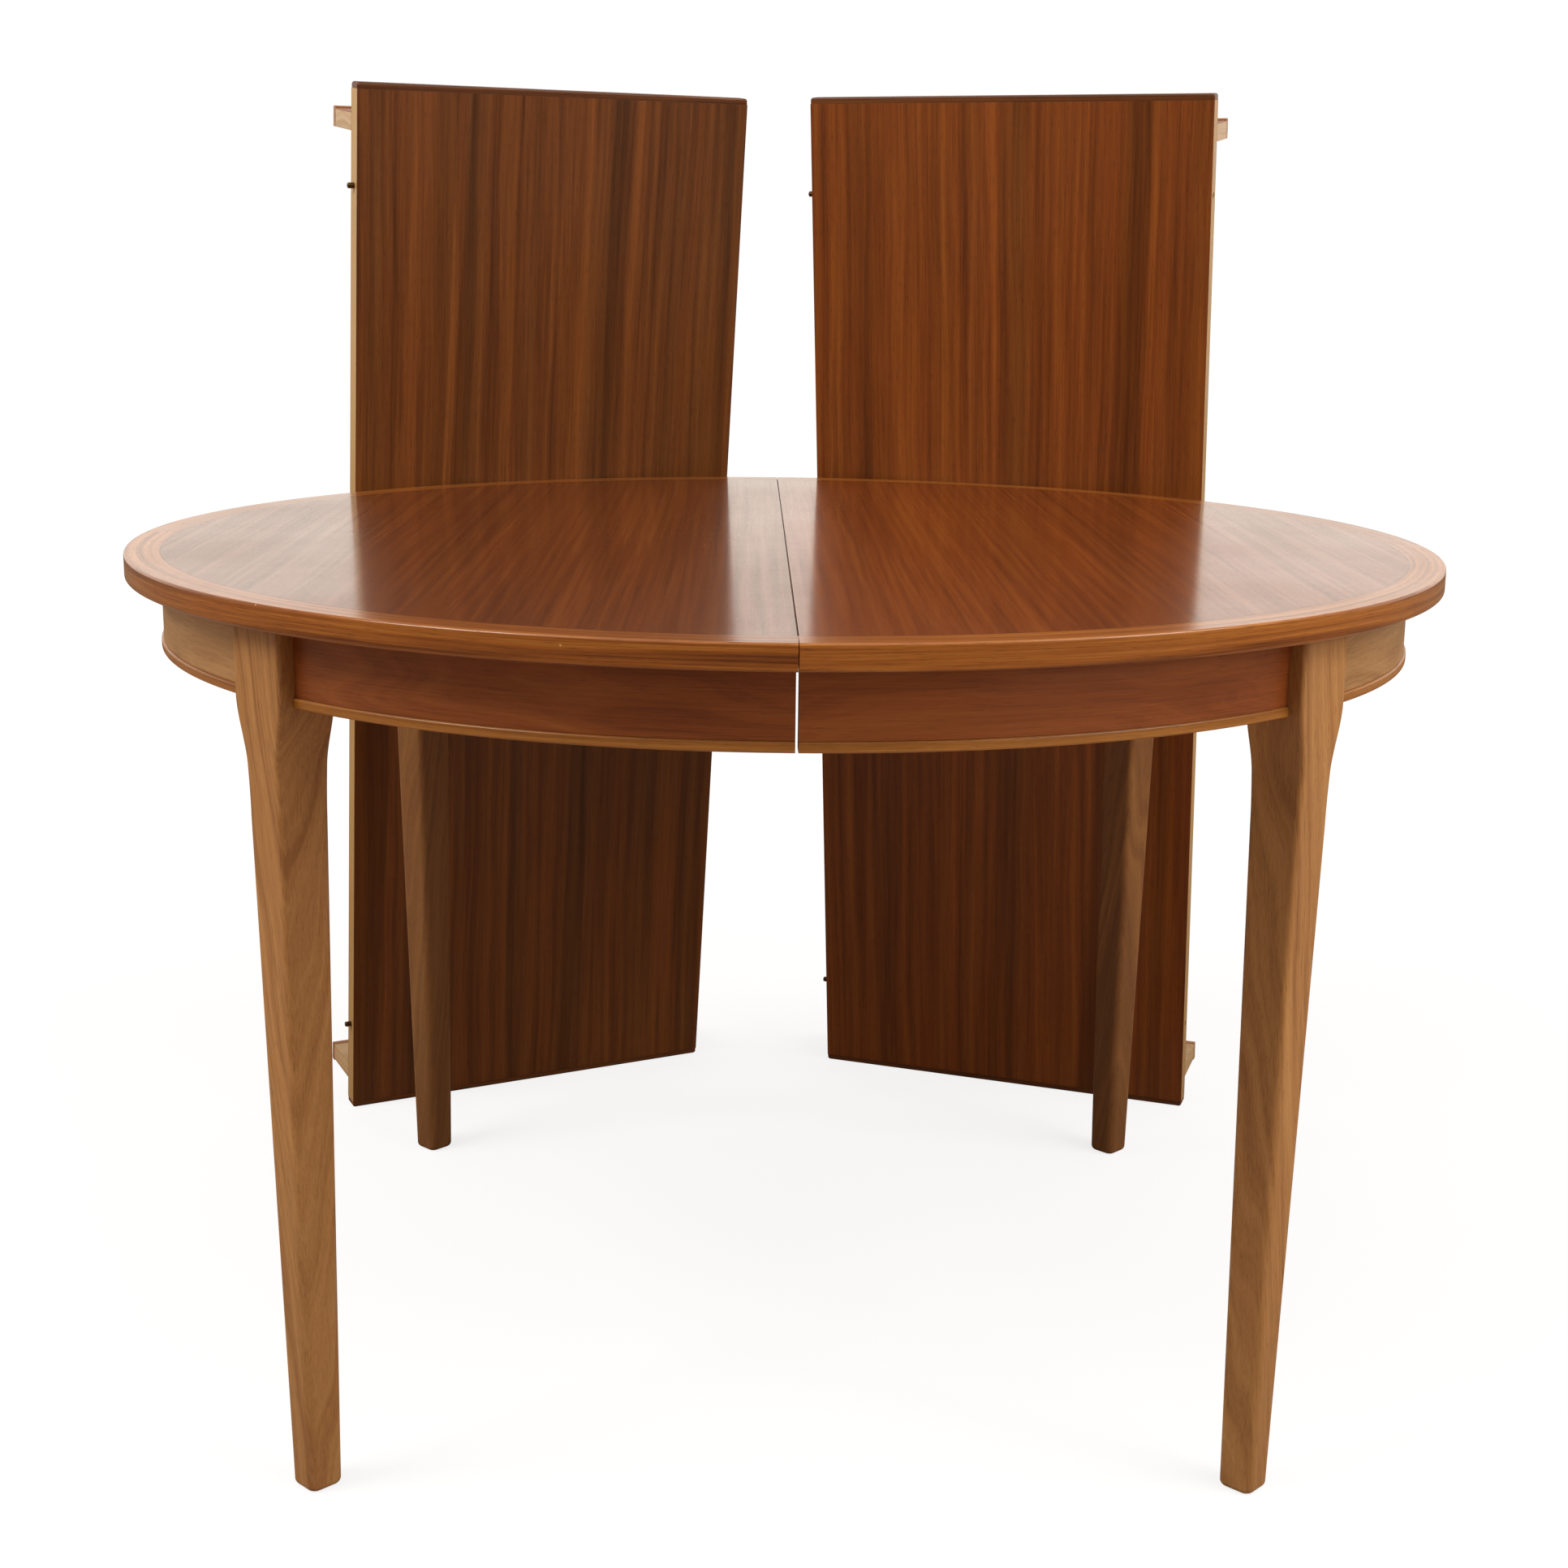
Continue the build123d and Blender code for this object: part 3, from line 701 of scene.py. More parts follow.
def rail_tree():
    """A rail with a rounded section that follows an arc."""
    tree, given, made = group_tree(
        "bent_rail",
        "GeometryNodeTree",
        {
            "Outer Radius": TOP_RADIUS,
            "Depth": 0.03,
            "Height": 0.02,
            "Foot": 0.7,
            "Start": 0.0,
            "Sweep": 1.0,
            "Outer Round": 0.002,
            "Inner Round": 0.0003,
            "Steps": ("NodeSocketInt", RAIL_STEPS),
            "Axis Y": AXIS.y,
            "Tilt": radians(35),
            "Log": 0.0,
            "Wood": ("NodeSocketMaterial", None),
        },
        {"Geometry": "NodeSocketGeometry"},
    )
    size = given.outputs
    middle_radius = times_plus(size["Depth"], -0.5, size["Outer Radius"])
    values = {"Resolution": size["Steps"], "Radius": middle_radius, "Start Angle": size["Start"]}
    values["Sweep Angle"] = size["Sweep"]
    arc = add(tree, "GeometryNodeCurveArc", values, mode="RADIUS")
    upright = add(tree, "GeometryNodeSetCurveNormal", {0: arc.outputs[0]}, mode="Z_UP")
    values = {"Width": size["Depth"], "Height": size["Height"]}
    section = add(tree, "GeometryNodeCurvePrimitiveQuadrilateral", values)
    outside = calc("GREATER_THAN", position_of(tree)[0], 0.0)
    gain = minus(size["Outer Round"], size["Inner Round"])
    rounding = times_plus(outside, gain, size["Inner Round"])
    values = {"Curve": section.outputs[0], "Count": 5, "Radius": rounding, "Limit Radius": True}
    eased = add(tree, "GeometryNodeFilletCurve", values, mode="POLY")
    values = {"Curve": upright.outputs[0], "Profile Curve": eased.outputs[0], "Fill Caps": True}
    swept = add(tree, "GeometryNodeCurveToMesh", values)
    lift = times_plus(size["Height"], 0.5, size["Foot"])
    x, y, z = position_of(tree)
    radius = calc("SQRT", plus(times(x, x), times(y, y)))
    half_way = times_plus(size["Sweep"], 0.5, size["Start"])
    c = calc("COSINE", half_way)
    s = calc("SINE", half_way)
    ahead = times_plus(y, s, times(x, c))
    aside = minus(times(y, c), times(x, s))
    along = times(calc("ARCTAN2", aside, ahead), middle_radius)
    tilted_x = times(z, calc("SINE", size["Tilt"]))
    tilted_x = times_plus(radius, calc("COSINE", size["Tilt"]), tilted_x)
    deep = plus(z, size["Log"])
    timber = vector_of(tilted_x, deep, plus(along, size["Log"]))
    known = store(tree, swept.outputs[0], "timber", timber)
    values = {"Geometry": known, "Translation": vector_of(0.0, size["Axis Y"], lift)}
    placed = add(tree, "GeometryNodeTransform", values)
    return finish_tree(tree, made, placed.outputs[0], size["Wood"])


RAIL = rail_tree()
print("rail tree:", len(RAIL.nodes), "nodes")

# %% Rails: lippings, aprons and beads
SIDES = ("left", "right")
BODY = {"left": "left_half", "right": "right_half"}
APRON_DEPTH = 19 * MM
BEAD_PROUD = 2 * MM
BEAD_ROUND = 1.8 * MM
APRON_RADIUS = -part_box("apron_side_left")[0].x
APRON_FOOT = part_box("bead_side_left")[0].z
BEAD_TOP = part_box("bead_side_left")[1].z
LEG_HALF_WIDTH = 30.5 * MM
APRON_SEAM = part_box("apron_front_right")[0].x

leg_gap = degrees(LEG_HALF_WIDTH / (APRON_RADIUS - APRON_DEPTH / 2)) - 0.06
seam_apron = degrees(APRON_SEAM / APRON_RADIUS)
seam_rim = degrees(SEAM_HALF / 2 / TOP_RADIUS)
spans = {
    "front_right": (-90, -LEG_ANGLE),
    "side_right": (-LEG_ANGLE, LEG_ANGLE),
    "rear_right": (LEG_ANGLE, 90),
    "rear_left": (90, 180 - LEG_ANGLE),
    "side_left": (180 - LEG_ANGLE, 180 + LEG_ANGLE),
    "front_left": (180 + LEG_ANGLE, 270),
}


def make_rail(name, slot, start, end, sizes, number):
    """Grow one rail between two bearings, in degrees, and keep it as a piece."""
    side = name.split("_")[-1]
    arc = {"Start": radians(start), "Sweep": radians(end - start), "Log": number * LOG_STEP}
    mesh = grow(RAIL, {**sizes, **arc, "Wood": FINISH[slot]})
    print(f"{name}: {face_out(mesh)}")
    keep_piece(name + "_rail", mesh, slot, BODY[side], [name])


apron_sizes = {
    "Outer Radius": APRON_RADIUS, "Depth": APRON_DEPTH, "Height": UNDER_Z - BEAD_TOP, "Foot": BEAD_TOP,
    "Outer Round": 0.4 * MM, "Inner Round": 0.4 * MM, "Tilt": radians(10),
}
bead_sizes = {
    "Outer Radius": APRON_RADIUS + BEAD_PROUD, "Depth": APRON_DEPTH + BEAD_PROUD,
    "Height": BEAD_TOP - APRON_FOOT, "Foot": APRON_FOOT, "Outer Round": BEAD_ROUND, "Inner Round": 0.4 * MM,
}
for number, (name, (start, end)) in enumerate(spans.items()):
    start += seam_apron if start % 180 == 90 else leg_gap
    end -= seam_apron if end % 180 == 90 else leg_gap
    make_rail(f"apron_{name}", "apron_walnut", start, end, apron_sizes, number)
    make_rail(f"bead_{name}", "bead_walnut", start, end, bead_sizes, number + len(spans))

rim_sizes = {
    "Outer Radius": TOP_RADIUS, "Depth": RIM_WIDTH, "Height": TOP_Z - UNDER_Z, "Foot": UNDER_Z,
    "Outer Round": ARRIS, "Inner Round": 0.12 * MM,
}
rims = {
    "rear_right": (0, 90 - seam_rim),
    "rear_left": (90 + seam_rim, 180),
    "front_left": (180, 270 - seam_rim),
    "front_right": (270 + seam_rim, 360),
}
for number, (name, (start, end)) in enumerate(rims.items()):
    make_rail(f"rim_{name}", "rim_walnut", start, end, rim_sizes, number + 2 * len(spans))

# %% [markdown]
# ## Tapered legs
#
# A leg's section is a rounded rectangle at every height. From the floor to the waist it widens
# evenly, and from the waist to the head it swells in a smooth S. Its corners are soft at the
# foot and crisp at the head. That is a rule, so the leg is a Grid whose points are moved: one
# direction of the grid runs round the section and the other runs up the leg.

# %% Geometry Nodes: tapered leg
WAIST_Z = 560 * MM
SIDE_WAIST_Z = 600 * MM
SHOULDER_Z = UNDER_Z - 55 * MM
CORNER_STEPS = 7
HOLD = 0.8 * MM  # distance of the holding points before and after a corner


def leg_tree():
    """A leg whose rounded section follows its height."""
    lengths = {
        "Head Depth": 0.050, "Head Width": 0.061, "Head Corner": 0.0035,
        "Waist Depth": 0.044, "Waist Width": 0.0425, "Waist Corner": 0.0045,
        "Foot Depth": 0.031, "Foot Width": 0.0305, "Foot Corner": 0.008,
        "Foot Round": 0.005, "Head Radius": 0.5325, "Foot Radius": 0.5285,
        "Waist": WAIST_Z, "Side Waist": SIDE_WAIST_Z, "Shoulder": SHOULDER_Z, "Top": UNDER_Z,
        "Axis Y": AXIS.y,
        "Bearing": 0.0, "Log": 0.0, "Slant Side": 0.7, "Slant Out": 0.34, "Slant Up": 0.10,
    }
    tree, given, made = group_tree(
        "tapered_leg", "GeometryNodeTree", lengths, {"Geometry": "NodeSocketGeometry"},
    )
    size = given.outputs
    per_corner = CORNER_STEPS + 3
    columns = 4 * per_corner
    foot_rows, taper_rows, swell_rows, head_rows = 7, 26, 30, 4
    rows = foot_rows + taper_rows + swell_rows + head_rows + 2
    values = {"Size X": columns, "Size Y": rows, "Vertices X": columns + 1, "Vertices Y": rows + 1}
    grid = add(tree, "GeometryNodeMeshGrid", values)
    x, y, _ = position_of(tree)
    column = calc("ROUND", plus(x, columns / 2))
    row = calc("ROUND", plus(y, rows / 2))

    # height of each row: round the foot, taper to the waist, swell to the shoulder, run to the top
    angle = ramp_between(row, 1.0, foot_rows + 1.0, 0.0, pi / 2)
    foot_rise, inset = (
        times(minus(1.0, calc(way, angle)), size["Foot Round"]) for way in ("COSINE", "SINE")
    )
    mark = foot_rows + 1.0
    levels = [size[title] for title in ("Foot Round", "Waist", "Shoulder", "Top")]
    rises = []
    for count, low, high in zip((taper_rows, swell_rows, head_rows), levels, levels[1:]):
        rises.append(ramp_between(row, mark, mark + count, 0.0, minus(high, low)))
        mark += count
    z = plus(plus(foot_rise, rises[0]), plus(*rises[1:]))

    def by_height(title, waist="Waist"):
        """A size of the section at this height."""
        low = ramp_between(z, 0.0, size["Waist"], size["Foot " + title], size["Waist " + title])
        gain = minus(size["Head " + title], size["Waist " + title])
        high = ramp_between(z, size[waist], size["Shoulder"], 0.0, gain, smooth=True)
        return plus(low, high)

    half_depth = minus(times(by_height("Depth"), 0.5), inset)
    half_width = minus(times(by_height("Width", "Side Waist"), 0.5), inset)
    corner = minus(by_height("Corner"), times(inset, 0.9))
    reach = ramp_between(z, 0.0, size["Waist"], size["Foot Radius"], size["Head Radius"])

    # place round the section: each corner is an arc, with a holding point just before and after it
    turn = calc("MODULO", column, columns)
    quarter = calc("FLOOR", over(plus(turn, 0.5), per_corner))
    step = minus(times_plus(quarter, -per_corner, turn), 1.0)
    held = calc("MINIMUM", calc("MAXIMUM", step, 0.0), CORNER_STEPS)
    slip = times(minus(step, held), HOLD)
    turned = plus(quarter, over(held, CORNER_STEPS))
    theta = times(turned, pi / 2)
    diagonal = times(plus(quarter, 0.5), pi / 2)
    c = calc("COSINE", theta)
    s = calc("SINE", theta)
    side_x = calc("SIGN", calc("COSINE", diagonal))
    side_y = calc("SIGN", calc("SINE", diagonal))
    above_foot = calc("GREATER_THAN", row, 0.5)
    not_pole = times(above_foot, calc("LESS_THAN", row, rows - 0.5))

    def section_point(side, half, cosine, drift):
        """One coordinate of a point on the section."""
        flat = times(side, minus(half, corner))
        point = plus(times_plus(corner, cosine, flat), drift)
        return times(point, not_pole)

    slip_back = times(times(slip, s), -1.0)
    local_x = section_point(side_x, half_depth, c, slip_back)
    local_y = section_point(side_y, half_width, s, times(slip, c))
    out = plus(local_x, reach)
    cb = calc("COSINE", size["Bearing"])
    sb = calc("SINE", size["Bearing"])
    world_x = minus(times(out, cb), times(local_y, sb))
    world_y = plus(times(out, sb), times(local_y, cb))
    world_y = plus(world_y, size["Axis Y"])
    slanted = times(local_y, size["Slant Side"])
    slanted = times_plus(out, size["Slant Out"], slanted)
    slanted = times_plus(z, size["Slant Up"], slanted)
    timber = vector_of(*(plus(length, size["Log"]) for length in (slanted, out, z)))
    known = store(tree, grid.outputs[0], "timber", timber)
    # the position is moved last, because every size above is worked out from the flat grid
    place = store(tree, known, "place", vector_of(world_x, world_y, z))
    read = add(tree, "GeometryNodeInputNamedAttribute", {"Name": "place"}, data_type="FLOAT_VECTOR")
    moved = add(tree, "GeometryNodeSetPosition", {"Geometry": place, "Position": read.outputs[0]})
    bare = add(tree, "GeometryNodeRemoveAttribute", {"Geometry": moved.outputs[0], "Name": "place"})
    closed = add(tree, "GeometryNodeMergeByDistance", {"Geometry": bare.outputs[0], "Distance": MERGE})
    return finish_tree(tree, made, closed.outputs[0], FINISH["leg_walnut"])


LEG = leg_tree()
print("leg tree:", len(LEG.nodes), "nodes")

# %% Legs
leg_bearings = {
    "front_left": 180 + LEG_ANGLE,
    "front_right": -LEG_ANGLE,
    "rear_left": 180 - LEG_ANGLE,
    "rear_right": LEG_ANGLE,
}
for number, (corner_name, bearing) in enumerate(leg_bearings.items()):
    mesh = grow(LEG, {"Bearing": radians(bearing), "Log": number * LOG_STEP + 0.9})
    print(f"leg {corner_name}: {face_out(mesh)}")
    side = corner_name.split("_")[1]
    keep_piece(f"leg_{corner_name}_tapered", mesh, "leg_walnut", BODY[side], [f"leg_{corner_name}"])

# %% [markdown]
# ## The veneered field
#
# Inside the lipping each half top is a flat half disc. Its curved edge uses the same steps as
# the lipping, so the two meet without a gap, and its seam edge has a fine arris, which is what
# makes a seam read as a line. Under a groove 4 mm deep the two halves close almost to nothing,
# so no light comes up through the seam. The veneer's grain runs along the seam, from front to
# back, and the two halves are sheets of one log, opened like a book.

# %% Field panels
SEAM_ARRIS = 0.35 * MM
GROOVE_DEPTH = 4 * MM
CLOSED_GAP = 0.06 * MM
SORTING_WAY = Vector((1, 3, 50))


def set_timber(mesh, origin, across, through, along, log=0.0):
    """Store the timber directions of a straight board: X across the layers, Z along the grain."""
    points = np.empty(len(mesh.vertices) * 3, np.float32)
    mesh.vertices.foreach_get("co", points)
    offset = points.reshape(-1, 3) - np.array(origin, np.float32)
    frame_of = np.array([across, through, along], np.float32)
    timber = offset @ frame_of.T + np.array((log, log, log), np.float32)
    attribute = mesh.attributes.get("timber") or mesh.attributes.new("timber", "FLOAT_VECTOR", "POINT")
    attribute.data.foreach_set("vector", timber.astype(np.float32).ravel())


def field_panel(side):
    """A half disc between the two faces of the top."""
    way = -1 if side == "left" else 1
    span = 90 - seam_rim
    shares = [step / (RAIL_STEPS - 1) for step in range(RAIL_STEPS)]
    angles = [radians(start + span * share) for start in (seam_rim - 90, 0) for share in shares]
    outline = [(way * FIELD_RADIUS * cos(angle), FIELD_RADIUS * sin(angle)) for angle in angles]
    outline = list(dict.fromkeys((round(x, 9), round(y, 9)) for x, y in outline))
    outline[0] = (way * SEAM_HALF, outline[0][1])
    outline[-1] = (way * SEAM_HALF, outline[-1][1])
    shape = bmesh.new()
    low, high = ([shape.verts.new((x, y + AXIS.y, z)) for x, y in outline] for z in (UNDER_Z, TOP_Z))
    shape.faces.new(low)
    shape.faces.new(high)
    for this in range(len(outline)):
        shape.faces.new((low[this - 1], low[this], high[this], high[this - 1]))
    bmesh.ops.recalc_face_normals(shape, faces=shape.faces)
    seam_edges = [
        edge for edge in shape.edges
        if all(abs(abs(v.co.x) - SEAM_HALF) < 1e-7 for v in edge.verts)
        and abs(edge.verts[0].co.z - edge.verts[1].co.z) < 1e-7
    ]
    bmesh.ops.bevel(shape, geom=seam_edges, offset=SEAM_ARRIS, segments=2, profile=0.5, affect="EDGES")
    everything = list(shape.verts) + list(shape.edges) + list(shape.faces)
    groove_foot = TOP_Z - GROOVE_DEPTH
    bmesh.ops.bisect_plane(shape, geom=everything, plane_co=(0, 0, groove_foot), plane_no=(0, 0, 1))
    shape.faces.ensure_lookup_table()
    low_face = min(
        (f for f in shape.faces if abs(f.normal.x) > 0.99 and abs(f.calc_center_median().x) < 2 * SEAM_HALF),
        key=lambda f: f.calc_center_median().z,
    )
    stepped = bmesh.ops.extrude_face_region(shape, geom=[low_face])
    pushed = [v for v in stepped["geom"] if isinstance(v, bmesh.types.BMVert)]
    bmesh.ops.delete(shape, geom=[low_face], context="FACES_ONLY")
    bmesh.ops.translate(shape, verts=pushed, vec=(way * (CLOSED_GAP / 2 - SEAM_HALF), 0, 0))
    bmesh.ops.recalc_face_normals(shape, faces=shape.faces)
    # the tools above leave points and faces in a changing order, and sorting makes every run alike
    shape.verts.sort(key=lambda vert: vert.co @ SORTING_WAY)
    shape.faces.sort(key=lambda part: part.calc_center_median() @ SORTING_WAY)
    mesh = bpy.data.meshes.new("field")
    shape.to_mesh(mesh)
    shape.free()
    set_timber(mesh, AXIS, (way, 0, 0), (0, 0, 1), (0, 1, 0), log=0.21)
    return mesh


for side in SIDES:
    mesh = field_panel(side)
    print(f"field {side}: {face_out(mesh)}")
    keep_piece(f"field_{side}", mesh, "top_veneer", BODY[side], [f"top_panel_{side}"])

# %% [markdown]
# ## Straight pieces with eased edges
#
# Blocks, runners, strips and leaf parts have the right shape already, but no edge in a workshop
# stays knife sharp. A copy of the measured mesh is merged, its flat faces are joined, and a
# narrow bevel eases every edge, so that light catches it.


# %% Eased copies
def eased_copy(node, width):
    """A merged copy of a node's mesh with eased edges."""
    shape = bmesh.new()
    shape.from_mesh(frame["nodes"][node].data)
    bmesh.ops.remove_doubles(shape, verts=shape.verts, dist=MERGE)
    bmesh.ops.dissolve_limit(shape, angle_limit=radians(0.5), verts=shape.verts, edges=shape.edges)
    plain = bpy.data.meshes.new(node)
    shape.to_mesh(plain)
    shape.free()
    stale = ("custom_normal", "sharp_face", "sharp_edge")
    for spare in [a.name for a in plain.attributes if a.name in stale]:
        plain.attributes.remove(plain.attributes[spare])
    holder = holder_of(plain)
    ease = holder.modifiers.new("ease", "BEVEL")
    ease.limit_method = "ANGLE"
    ease.angle_limit = radians(40)
    ease.width = width
    ease.segments = 2
    ease.use_clamp_overlap = True
    mesh = worked_out(holder)
    bpy.data.objects.remove(holder)
    return mesh


def keep_inner(node, width, slot, body, ways, log):
    """Keep an eased copy of an inner piece."""
    mesh = eased_copy(node, width)
    set_timber(mesh, AXIS, *ways, log=log)
    keep_piece(node + "_eased", mesh, slot, body, [node])


X, Y, Z = Vector((1, 0, 0)), Vector((0, 1, 0)), Vector((0, 0, 1))
for number, (name, bearing) in enumerate(leg_bearings.items()):
    out = Vector((cos(radians(bearing)), sin(radians(bearing)), 0))
    ways = (out, Z, Z.cross(out))
    body = BODY[name.split("_")[1]]
    keep_inner(f"leg_block_{name}", 1.2 * MM, "inner_softwood", body, ways, number * LOG_STEP)
for number, side in enumerate(SIDES):
    log = number * LOG_STEP + 1.3
    keep_inner(f"glue_blocks_{side}", 1.0 * MM, "inner_softwood", BODY[side], (X, Z, Y), log)
for number, row in enumerate(("front", "rear")):
    for role, body in (("left", "left_half"), ("middle", "middle_runners"), ("right", "right_half")):
        log = number * LOG_STEP + len(role) * 0.31
        keep_inner(f"runner_{row}_{role}", 0.7 * MM, "runner_beech", body, (Y, Z, X), log)
print("eased: 4 corner blocks, 2 sets of glue blocks, 6 runners")

# %% [markdown]
# ## The leaves
#
# A leaf is a board: a core between two veneers, pale strips along its long edges, walnut
# lippings across its ends, and a straight piece of apron with its bead behind each end. Its own
# directions are read off the measured model: *up* is the way it lifts, *face* is the way its
# show side looks, and *across* runs along its lower end.


# %% Leaf directions
def leaf_directions(side):
    """Lower left corner of the show face, and the across, face and up directions of a leaf."""
    lift = next(j for j in frame["joints"] if j["name"] == f"leaf_{side}_lift")
    up = Vector(lift["axis"]).normalized()
    sheet = frame["nodes"][f"leaf_{side}_face_veneer"].data
    largest = max(sheet.polygons, key=lambda p: (round(p.area, 7), -p.normal.y))
    face = Vector(largest.normal)
    face = face if face.y < 0 else -face
    across = up.cross(face).normalized()
    across = across if across.x > 0 else -across
    ends = frame["nodes"][f"leaf_{side}_end_lippings"].data
    corner = Vector((
        min(v.co @ across for v in ends.vertices),
        max(v.co @ face for v in ends.vertices),
        min(v.co @ up for v in ends.vertices),
    ))
    return across * corner.x + face * corner.y + up * corner.z, across, face, up


LEAF = {side: leaf_directions(side) for side in SIDES}
for side, (corner_point, across, face, up) in LEAF.items():
    print(side, "leaf corner", [round(c, 4) for c in corner_point], "face", [round(c, 4) for c in face])

# %% [markdown]
# The aprons behind a leaf are pale wood with walnut veneer on the one face that shows when the
# leaf is in the table. Their sawn ends show both. A second attribute, *skin*, holds how deep
# each point lies under that face, and the finish changes from walnut to pale wood at the depth
# of the veneer.


# %% Leaf pieces
def set_skin(mesh, outward):
    """Store how deep each point lies under the veneered face that looks outward."""
    depths = [-(vertex.co @ outward) for vertex in mesh.vertices]
    shallowest = min(depths)
    attribute = mesh.attributes.new("skin", "FLOAT", "POINT")
    attribute.data.foreach_set("value", [depth - shallowest for depth in depths])


EASE = 0.35 * MM
LEAF_PARTS = {
    "core": ("leaf_core", EASE, "long"),
    "edge_strips": ("pale_strip", 0.3 * MM, "long"),
    "face_veneer": ("leaf_veneer", 0.25 * MM, "long"),
    "back_veneer": ("leaf_back_veneer", 0.25 * MM, "long"),
    "end_lippings": ("rim_walnut", EASE, "short"),
    "apron_lower": ("leaf_apron", 0.6 * MM, "short"),
    "apron_upper": ("leaf_apron", 0.6 * MM, "short"),
    "beads": ("bead_walnut", 0.4 * MM, "short"),
}
for number, side in enumerate(SIDES):
    corner_point, across, face, up = LEAF[side]
    for place, (part, (slot, width, grain)) in enumerate(LEAF_PARTS.items()):
        node = f"leaf_{side}_{part}"
        mesh = eased_copy(node, width)
        ways = (across, face, up) if grain == "long" else (up, face, across)
        set_timber(mesh, corner_point, *ways, log=leaf_log(number, place))
        if part.startswith("apron"):
            set_skin(mesh, up if part == "apron_upper" else -up)
        keep_piece(node + "_eased", mesh, slot, f"leaf_{side}", [node])
print("leaf pieces:", 2 * len(LEAF_PARTS))

# %% [markdown]
# ## Metal parts
#
# Screws, bolts and pins keep their measured shape and get their metal.

# %% Metal parts
for node in frame["nodes"].values():
    if node.hide_render:
        continue
    finish = FINISH[node.data.materials[0].name]
    for holding in node.material_slots:
        holding.material = finish
    print("kept as measured:", node.name, "in", finish.name)

# %% [markdown]
# ## Floor and light
#
# The floor is plain and pale. The light is that of a white room: two big soft lights high in
# front, a weak one overhead, low ones that only fill, and behind the table a bright wall that
# the varnish mirrors. The room in front is dim, so the show faces keep their colour.

# %% Floor
FLOOR_SIZE = 30.0
FLOOR_GIVES = (0.38, 0.29, 0.21, 1)
FLOOR_LOOKS = (0.9, 0.9, 0.9, 1)
FLOOR_GLOW = 1.06
GLOW_REACH = (0.9, 2.4)  # distances between which the glow rises from its near share to all
GLOW_NEAR = 0.76


def floor_material():
    """Floor that looks almost white with faint soft shadows, and gives back little light."""
    material, tree, shader = new_material("pale_floor")
    seen = tree.nodes.new("ShaderNodeLightPath").outputs["Is Camera Ray"]
    wire(shader.inputs["Base Color"], mix("MIX", seen, FLOOR_GIVES, FLOOR_LOOKS))
    shader.inputs["Roughness"].default_value = 0.9
    shader.inputs["Specular IOR Level"].default_value = 0.1
    glow = add(tree, "ShaderNodeEmission", {"Color": (1, 1, 1, 1), "Strength": FLOOR_GLOW})
    spot = tree.nodes.new("ShaderNodeTexCoord").outputs["Object"]
    away = add(tree, "ShaderNodeVectorMath", {0: spot}, operation="LENGTH").outputs["Value"]
    share = times(seen, ramp_between(away, *GLOW_REACH, GLOW_NEAR, 1.0, smooth=True))
    blend = add(tree, "ShaderNodeMixShader", {0: share, 1: shader.outputs[0], 2: glow.outputs[0]})
    output = next(n for n in tree.nodes if n.bl_idname == "ShaderNodeOutputMaterial")
    tree.links.new(blend.outputs[0], output.inputs[0])
    return material


shape = bmesh.new()
bmesh.ops.create_grid(shape, x_segments=1, y_segments=1, size=FLOOR_SIZE / 2)
floor_mesh = bpy.data.meshes.new("floor")
shape.to_mesh(floor_mesh)
shape.free()
floor = bpy.data.objects.new("floor", floor_mesh)
floor.data.materials.append(floor_material())
floor.location.z = CAD_BOX[0][2] - 0.0002
SCENE.collection.objects.link(floor)
print("floor", FLOOR_SIZE, "m wide")

# %% Light
FRONT_LIGHT, BACK_LIGHT, CEILING_LIGHT, SEEN_WHITE = 0.075, 1.2, 0.4, 1.05
WALL_RAMP = (-0.1, 0.7)  # from the front wall's light to the back wall's
CEILING_RAMP = (0.25, 0.55)  # from the walls' light to the ceiling's
WARM_WHITE = (1.0, 0.90, 0.80, 1)
WHITE = (1, 1, 1, 1)

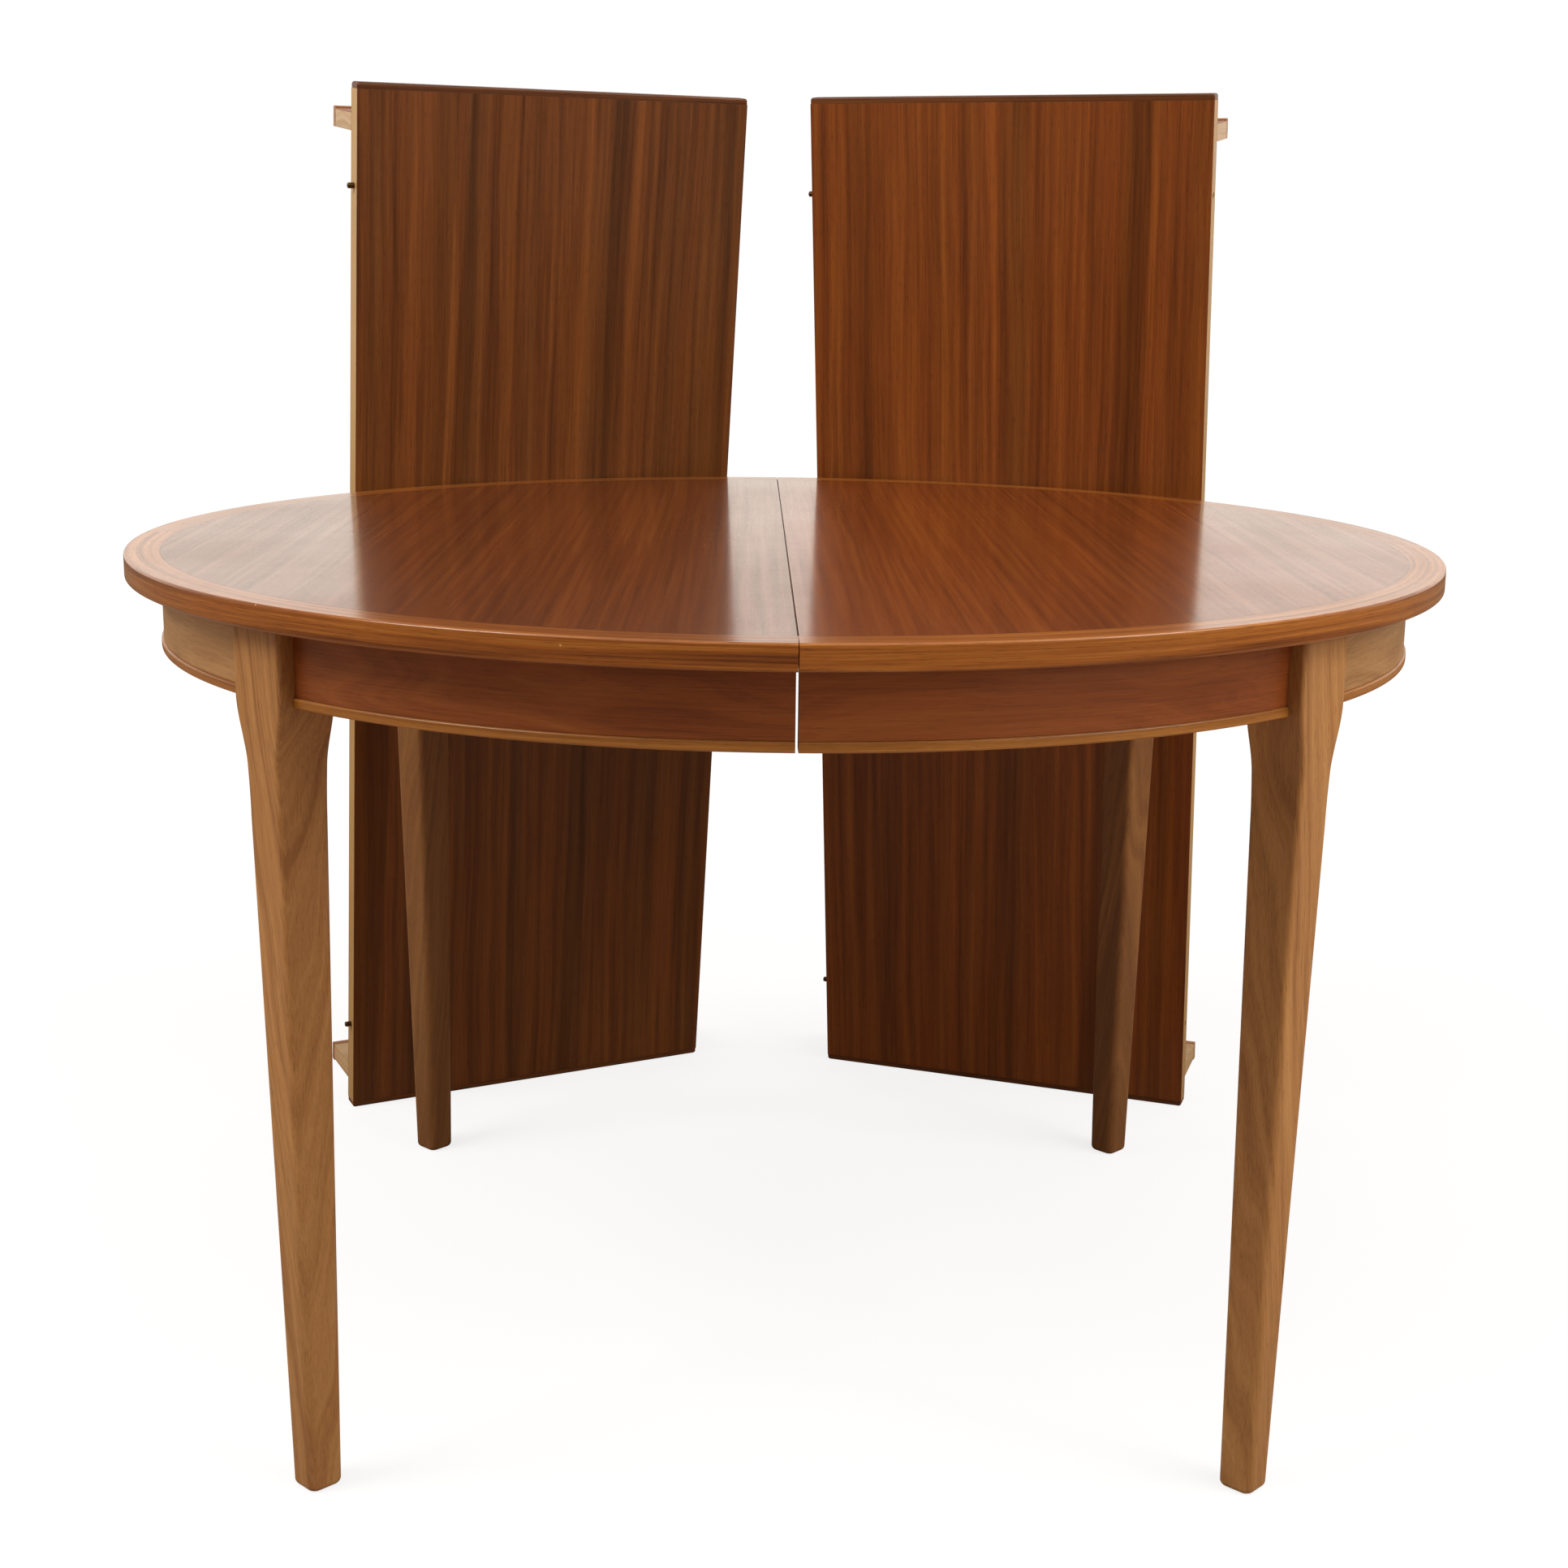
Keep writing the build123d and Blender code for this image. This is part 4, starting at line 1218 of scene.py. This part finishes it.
world = bpy.data.worlds.new("white_room")
world.use_nodes = True
room = world.node_tree
_, back, up = numbers_of(room.nodes.new("ShaderNodeTexCoord").outputs["Generated"])
walls = ramp_between(back, *WALL_RAMP, FRONT_LIGHT, BACK_LIGHT, smooth=True)
above = ramp_between(up, *CEILING_RAMP, 0.0, 1.0, smooth=True)
lit = add(room, "ShaderNodeMix", {0: above, 2: walls, 3: CEILING_LIGHT}, data_type="FLOAT").outputs[0]
seen = room.nodes.new("ShaderNodeLightPath").outputs["Is Camera Ray"]
strength = add(room, "ShaderNodeMix", {0: seen, 2: lit, 3: SEEN_WHITE}, data_type="FLOAT").outputs[0]
background = room.nodes["Background"].inputs
wire(background["Strength"], strength)
wire(background["Color"], mix("MIX", seen, WARM_WHITE, WHITE))
SCENE.world = world
SCENE.view_settings.view_transform = "Standard"


def soft_light(name, place, aim, size, power, mirrored):
    """A large rectangular light that looks at a point on the table's axis."""
    light = bpy.data.lights.new(name, "AREA")
    light.shape = "RECTANGLE"
    light.size, light.size_y = size
    light.energy = power
    light.color = (1.0, 0.98, 0.95)
    lamp = bpy.data.objects.new(name, light)
    lamp.location = place
    lamp.rotation_euler = (Vector((0, 0, aim)) - Vector(place)).to_track_quat("-Z", "Y").to_euler()
    lamp.visible_glossy = mirrored
    SCENE.collection.objects.link(lamp)
    print("light", name, power, "W")


LIGHTS = {
    "overhead": ((0.0, -1.2, 3.0), 0.5, (3.6, 2.0), 25, True),
    "left_high": ((-2.9, -1.4, 3.6), 0.4, (1.8, 1.6), 105, True),
    "right_high": ((3.0, -1.2, 3.5), 0.4, (1.8, 1.6), 75, True),
    "right_low": ((2.8, -2.5, 1.7), 0.4, (1.6, 1.6), 44, False),
    "left_side": ((-3.2, -0.2, 1.6), 0.5, (1.4, 1.4), 18, False),
    "right_side": ((3.2, -0.2, 1.6), 0.5, (1.4, 1.4), 8, False),
}
for name, settings in LIGHTS.items():
    soft_light(name, *settings)

# %% [markdown]
# ## The measured box
#
# The box of the measured model is printed once more at the end.

# %% Sizes and finish
print("measured box", CAD_BOX)
